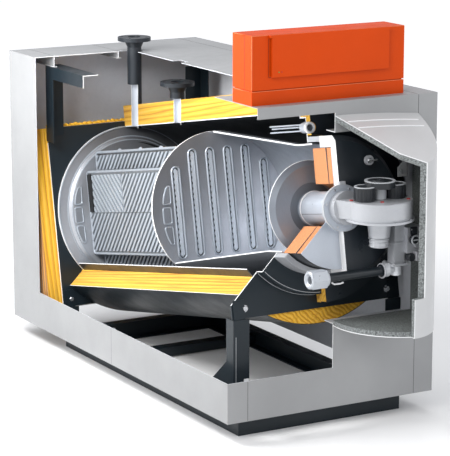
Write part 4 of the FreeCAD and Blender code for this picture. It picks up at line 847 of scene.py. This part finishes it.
def fan_details():
    at = lambda z, x=0: place(FAN_X + x, FAN_Y, z)
    m = Maker()
    for z, r in ((889, 118), (827.5, 121)):
        m.turn([(-1.6, r - 3), (-1.6, r + 0.6), (0, r + 1.6), (1.6, r + 0.6), (1.6, r - 3)], at(z), Z, X,
               start=-100, sweep=200, steps=72)
    m.made("fan_seams", "fan_metal", "fan_metal")
    circle = 123
    for a in (math.radians(angle) for angle in range(-95, 110, 38)):
        foot = place(FAN_X + circle * math.cos(a) * 0.985, FAN_Y - circle * math.sin(a), 822)
        m.bolt(foot, Z, 3.4, 2.6, washer=False)
    m.made("fan_screws", ZINC, "fan_metal")
    # the motor's three drums: light rims, which are painted highlights, and a neck, then upright ribs and the
    # middle one's cap
    for side in (-1, 1):
        m.turn(band(50.5, 53.2, 30, 38.6), at(FAN_TOP, side * DRUM_AWAY), Z, X, steps=48)
    m.turn(band(66.5, 69.2, 46, 56.6), at(FAN_TOP), Z, X, steps=60)
    m.turn(band(2, 42, 22.2, 24), at(FAN_TOP), Z, X, steps=40)
    m.made("motor_rims", LIGHT_EDGE, "dark_plastic")
    for side in (-1, 1):
        for a in (2 * math.pi * k / 20 for k in range(20)):
            foot = place(FAN_X + side * DRUM_AWAY + DRUM * math.cos(a), FAN_Y + DRUM * math.sin(a), FAN_TOP)
            m.bar([foot + Z * 0.006, foot + Z * 0.045], 1.5, sides=6)
    m.turn([(0, 0), (0, 30), (3, 28), (3, 0)], at(FAN_TOP + 68), Z, X, steps=40)
    m.turn([(3, 0), (3, 12), (6, 10), (6, 0)], at(FAN_TOP + 68), Z, X, steps=6)
    m.made("motor_ribs", "dark_plastic", "dark_plastic")
    for x, y in ((-8, -126), (72, -206), (188, -202)):
        m.turn([(0, 0), (0, 7), (3, 6.4), (3, 0)], place(x, y, FAN_TOP), Z, X, steps=20)
    m.made("fan_marks", RED, "fan_metal")
    for z, r in ((744, 39.2), (731, 36.4), (716, 36.4), (810, 47)):
        m.turn([(-1.6, r - 3), (-1.6, r), (0, r + 1), (1.6, r), (1.6, r - 3)], at(z), Z, X, steps=56)
    m.turn(band(0, -2, 24, 35), at(INLET_END + 0.2), Z, X, steps=48)
    m.made("inlet_rings", "fan_metal", "fan_metal")
    # painted shade: a near-black disc in the inlet's mouth
    m.turn(band(0, -1, 0, 24), at(INLET_END), Z, X, steps=48)
    m.made("inlet_mouth", RECESS_SHADE, "fan_metal")


def door_parts():
    m = Maker()
    m.prism([(262, 932), (304, 932), (304, 986), (292, 994), (262, 968)], upright, -24, -18)
    m.box((298, -24, 936), (304, 6, 984))
    m.made("door_lug", "hood_paint", "dark_cover", bevel=1.5)
    m.bolt(place(278, -24, 952), -Y, 6, 5)
    m.made("lug_bolt", ZINC, "dark_cover")
    for angle in (40, 92, 140):
        m.bolt(spot(angle, 258, -888, DROP), -U, 8, 6)
    m.made("door_bolts", "dark_cover", "dark_cover")
    # a turned knob with a short lever, on the handle's disc
    low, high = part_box("door_handle")
    at = (Vector(low) + Vector(high)) / 2 - Y * 0.016
    m.bar([at - X * 0.012 - Z * 0.004, at + X * 0.014, at + X * 0.028 + Z * 0.001], 3.6, sides=12)
    m.turn([(-1, 0), (-1, 7), (3, 9.5), (5, 9.5), (5, 0)], at, Y, Z, steps=28)
    m.made("handle_grip", ZINC, "dark_cover")


SENSOR_W = 290     # the sensor pocket's height over the axis


def sensor_details():
    """The rim of the sensor pocket's front end, painted white as a highlight, and a plug on each sensor."""
    m = Maker()
    # painted highlight: the rim is white
    m.turn([(-1.0, 12.5), (-5, 15), (-6, 18), (-5, 20.6), (-1, 22.6), (6, 22.6), (6, 21), (-0.5, 20.9)],
           inside(0, -736, SENSOR_W), U, W, steps=40)
    m.made("sensor_rim", WHITE_EDGE, "burner_steel")
    for x, up in ((-5, 6), (5, 4), (0, -6)):
        m.turn([(0, 0), (0, 3.6), (-4, 3.2), (-4, 0)], inside(x, -708, SENSOR_W + up), U, W, steps=16)
    m.made("sensor_plugs", "dark_plastic", "burner_steel")


CONTROL_TOP = 1484.0
SEAM_LOW, SEAM_HIGH = CONTROL_TOP - 0.4, CONTROL_TOP + 0.05   # a seam line in the housing's top
FLAP_FACE = 43.2                                              # just in front of the flap's seat


def control_details():
    """Two small lamps on the flap, and the seams and light edges of the housing; the light edges are painted
    highlights.
    """
    m = Maker()
    for x, name, finish in ((-222, "lamp_green", LAMP_GREEN), (-210, "lamp_red", LAMP_RED)):
        m.turn([(0, 0), (0, 2.6), (-1.4, 2.0), (-1.4, 0)], place(x, 29, 1350), Y, Z, steps=20)
        m.made(name, finish, "control_orange", body="flap")
    dark = painted("control_shadow", (0.16, 0.012, 0.002), 0.5)
    m.box((-322, 46, SEAM_LOW), (322, 48, SEAM_HIGH))
    m.box((-322, 165, SEAM_LOW), (322, 166.6, SEAM_HIGH))
    m.made("control_seams", dark, "control_orange", bevel=0)
    m.box((-253, FLAP_FACE, 1330), (253, 44, 1332))
    for x in (-257.5, 256.3):
        m.box((x, FLAP_FACE, 1330), (x + 1.2, 44, 1470))
    for side in (-326, 326):
        m.box((side - 0.6, 94, 1291), (side + 0.6, 96, CONTROL_TOP))
    m.box((-322, 94, SEAM_LOW), (322, 96, SEAM_HIGH))
    m.made("control_lines", dark, "control_orange", bevel=0)
    # painted highlights: lighter orange lines along the housing's edges
    light = painted("control_edge", (0.80, 0.20, 0.07), 0.4)
    left, right, front, rear = -325.4, 325.4, 44.6, 178
    for x in (left, right):
        m.bar([place(x, front, 1292), place(x, front, 1482)], 1.2)
    for z in (1282.5, 1482.8):
        m.bar([place(left, rear, z), place(left, front, z), place(right, front, z)], 1.2)
    m.made("control_edge_highlights", light, "control_orange")


def stand_details():
    """A bolt, a clip and a light line on the front legs, and the wool's torn edge over the rear plate."""
    m = Maker()
    for x in (-318, 318):
        m.bolt(place(x, 106, 168), -Y, 7.5, 6)
    m.made("leg_bolts", ZINC, "frame_paint")
    m.box((-324, 96, 198), (-304, 99.6, 210))
    m.box((-324, 88, 195), (-304, 99.6, 198))
    m.made("leg_clip", WHITE_EDGE, "frame_paint", bevel=0.8)
    m.bar([place(-357, 99.6, 110), place(-357, 99.6, 372)], 1.0, sides=6)
    m.made("leg_line", LIGHT_EDGE, "frame_paint")
    steps, left, wide, low = 60, -360, 400, 917.5
    rings = []
    for i in range(steps + 1):
        x = left + wide * i / steps
        top = low + (9 + 3 * math.sin(i * 1.9) + 2 * math.sin(i * 0.7))
        rings.append([place(x, 1684, low), place(x, 1700, low), place(x, 1699, top), place(x, 1686, top)])
    m.skin(rings)
    m.made("rear_wool_edge", WOOL_TRIM, "mineral_wool")


# ---- bolts and casing

def frame_bolts():
    m = Maker()
    for x, u, w in ((330, 771.9, -354), (312, -678, -348)):
        for side in (-1, 1):
            m.bolt(inside(side * x, u, w), -U, 10, 8)
    m.made("frame_bolts", ZINC, "frame_paint")
    m.bolt(place(-438.5, 930, 221), Z, 8, 6)
    m.made("seam_bolt", ZINC, "casing_sheet")


LEFT_TOP = 232     # the low strip that is left of the left panels ends at this height
WINDOW_END = 1602  # the window in the top ends here


def casing_seams():
    """The joint lines between panels, then the rear panel's screws and the ring round the flue."""
    m = Maker()
    for x, top in ((-365, LEFT_TOP), (365, TOP)):
        m.box((x - 0.9, 82, -0.35), (x + 0.9, top - 2, 0.4), lambda a, b, d: place(a, -d, b))
    over = lambda a, b, d: place(a, b, TOP + d)
    for x, start in ((-361, WINDOW_END), (361, 4)):
        m.box((x - 0.9, start, -0.3), (x + 0.9, 1852, 0.35), over)
    m.box((-62.9, WINDOW_END, -0.3), (-61.1, 1852, 0.35), over)
    for x, top in ((-SIDE, LEFT_TOP), (SIDE, TOP)):
        m.box((x - 0.05, 929, 82), (x + 0.05, 931, top - 4))
    # the fold lines of the rear panel
    for x in (-430, 429):
        m.box((x, 1855.6, 100), (x + 1, 1856.3, 1212))
    for z in (100, 1211):
        m.box((-430, 1855.6, z), (430, 1856.3, z + 1))
    m.made("casing_seams", SEAM, "casing_sheet", bevel=0)
    for x in (-440, 440):
        for z in (130, 500, 870, 1200):
            m.turn([(0, 0), (0, 5.5), (1.5, 5), (2.4, 3), (2.4, 0)], place(x, BACK, z), Y, Z, steps=20)
    flue = place(0, BACK, 400)
    m.turn([(43, 100.3), (43, 103), (45, 104), (45, 100.3)], flue, Y, Z, steps=72)
    m.turn([(0.2, 101), (0.2, 112), (3, 111), (4, 104), (4, 101)], flue, Y, Z, steps=72)
    m.made("rear_screws", ZINC, "casing_sheet")


# ---- floor, light, camera

FLOOR_HALF, FLOOR_MIDDLE = 14, (2, 4, -0.0005)
GLOW = 1.3, 4.5, 0.04, 0.5     # from and to which distance the floor's own light grows, and its strengths


def stage_floor():
    """A pale floor that shines a little more with the distance, so that it runs into the white behind."""
    f = Finish("studio_pale")
    paint = f.done(f.ramp(f.noise(0.8, 3), (0.3, (0.86, 0.86, 0.86)), (0.7, (0.9, 0.9, 0.9))), 0.9)
    away = f.vectors("LENGTH", f.node("NewGeometry").outputs["Position"])["Value"]
    glow = f.node("MapRange", Value=away)
    for socket, value in zip(glow.inputs[1:5], GLOW):
        socket.default_value = value
    f.shader.inputs["Emission Color"].default_value = (1, 1, 1, 1)
    f.put(f.shader.inputs["Emission Strength"], glow.outputs[0])
    bm = bmesh.new()
    bmesh.ops.create_grid(bm, x_segments=2, y_segments=2, size=FLOOR_HALF)
    floor = link("studio_floor", bm, paint)
    floor.location = FLOOR_MIDDLE


def lamp(name, size, power, at, aim, colour=(1, 1, 1)):
    data = bpy.data.lights.new(name, "AREA")
    data.shape, data.size, data.size_y = "RECTANGLE", size[0], size[1]
    data.energy, data.color = power, colour
    light = bpy.data.objects.new(name, data)
    light.location = at
    light.rotation_euler = (Vector(aim) - Vector(at)).to_track_quat("-Z", "Y").to_euler()
    light.visible_camera = False
    bpy.context.scene.collection.objects.link(light)


def sky():
    """Soft bluish light from all round; the camera itself sees plain white."""
    world = bpy.data.worlds.new("studio")
    world.use_nodes = True
    tree = world.node_tree
    soft = tree.nodes["Background"]
    white = tree.nodes.new("ShaderNodeBackground")
    for node, colour, strength in ((soft, (0.93, 0.95, 1.0, 1), 0.62), (white, (1, 1, 1, 1), 1.0)):
        node.inputs[0].default_value = colour
        node.inputs[1].default_value = strength
    choose = tree.nodes.new("ShaderNodeMixShader")
    tree.links.new(tree.nodes.new("ShaderNodeLightPath").outputs["Is Camera Ray"], choose.inputs[0])
    tree.links.new(soft.outputs[0], choose.inputs[1])
    tree.links.new(white.outputs[0], choose.inputs[2])
    tree.links.new(choose.outputs[0], tree.nodes["World Output"].inputs[0])
    bpy.context.scene.world = world


CAMERA_AT, CAMERA_YAW, CAMERA_PITCH, LENS = (-4.304, -7.517, 2.483), 29.77, 12.18, 175.7


def studio():
    stage_floor()
    sky()
    lamp("key", (3.2, 2.4), 152, (-4.2, -3.6, 4.6), (0, 0, 0.7), (1, 0.98, 0.95))
    lamp("fill", (3.5, 2.5), 45, (2.8, -5.0, 2.6), (0, 0, 0.6))
    lamp("side", (2.6, 1.6), 42, (-4.2, 0.9, 1.7), (0.3, 0.3, 0.8))
    lamp("inner", (1.4, 0.5), 48, (-1.5, 0.2, 1.75), (0.3, 0.75, 0.95))
    lamp("top", (2.6, 3.6), 66, (0.3, 0.4, 4.6), (0, 0.1, 0.6))
    bpy.context.scene.view_settings.view_transform = "Standard"
    data = bpy.data.cameras.new("photo_view")
    data.lens, data.sensor_width = LENS, 36
    camera = bpy.data.objects.new("photo_view", data)
    camera.location = CAMERA_AT
    camera.rotation_euler = math.radians(90 - CAMERA_PITCH), 0, -math.radians(CAMERA_YAW)
    bpy.context.scene.collection.objects.link(camera)
    bpy.context.scene.camera = camera


def finish_nodes():
    """Every CAD node takes its slot's finish, or one of its own."""
    slot_of = {part["node"]: part["material_slot"] for part in frame["record"]["subparts"]}
    own = {
        "gas_pipe": GAS_PIPE, "rear_insulation": WOOL_UPRIGHT, "chamber_cone": CONE_IN,
        "front_insulation": WOOL_ACROSS, "burner_disc": DISC_FACE, "door_collar": FINISH["fan_metal"],
        "door_handle": FINISH["valve_metal"], "exchanger_pockets": EXCHANGER,
        "exchanger_side_pockets": EXCHANGER, "slot_plate": PLATE, "rear_disc": DISC_STEEL,
        "shell_upper": SHELL_IN, "shell_lower": SHELL_IN,
    }
    for label, thing in nodes.items():
        thing.data.materials.clear()
        thing.data.materials.append(own.get(label, FINISH[slot_of[label]]))


finish_nodes()
section_edges()
disc_rings()
pads("disc_pads", -284, -246, 114, -122, DISC_FIELD)
exchanger_ribs()
slot_details()
pads("slot_pads", -258, -219, 104, -128, 0)
burner_details()
door_details()
hood_details()
gas_details()
fan_details()
door_parts()
sensor_details()
control_details()
stand_details()
frame_bolts()
casing_seams()
studio()
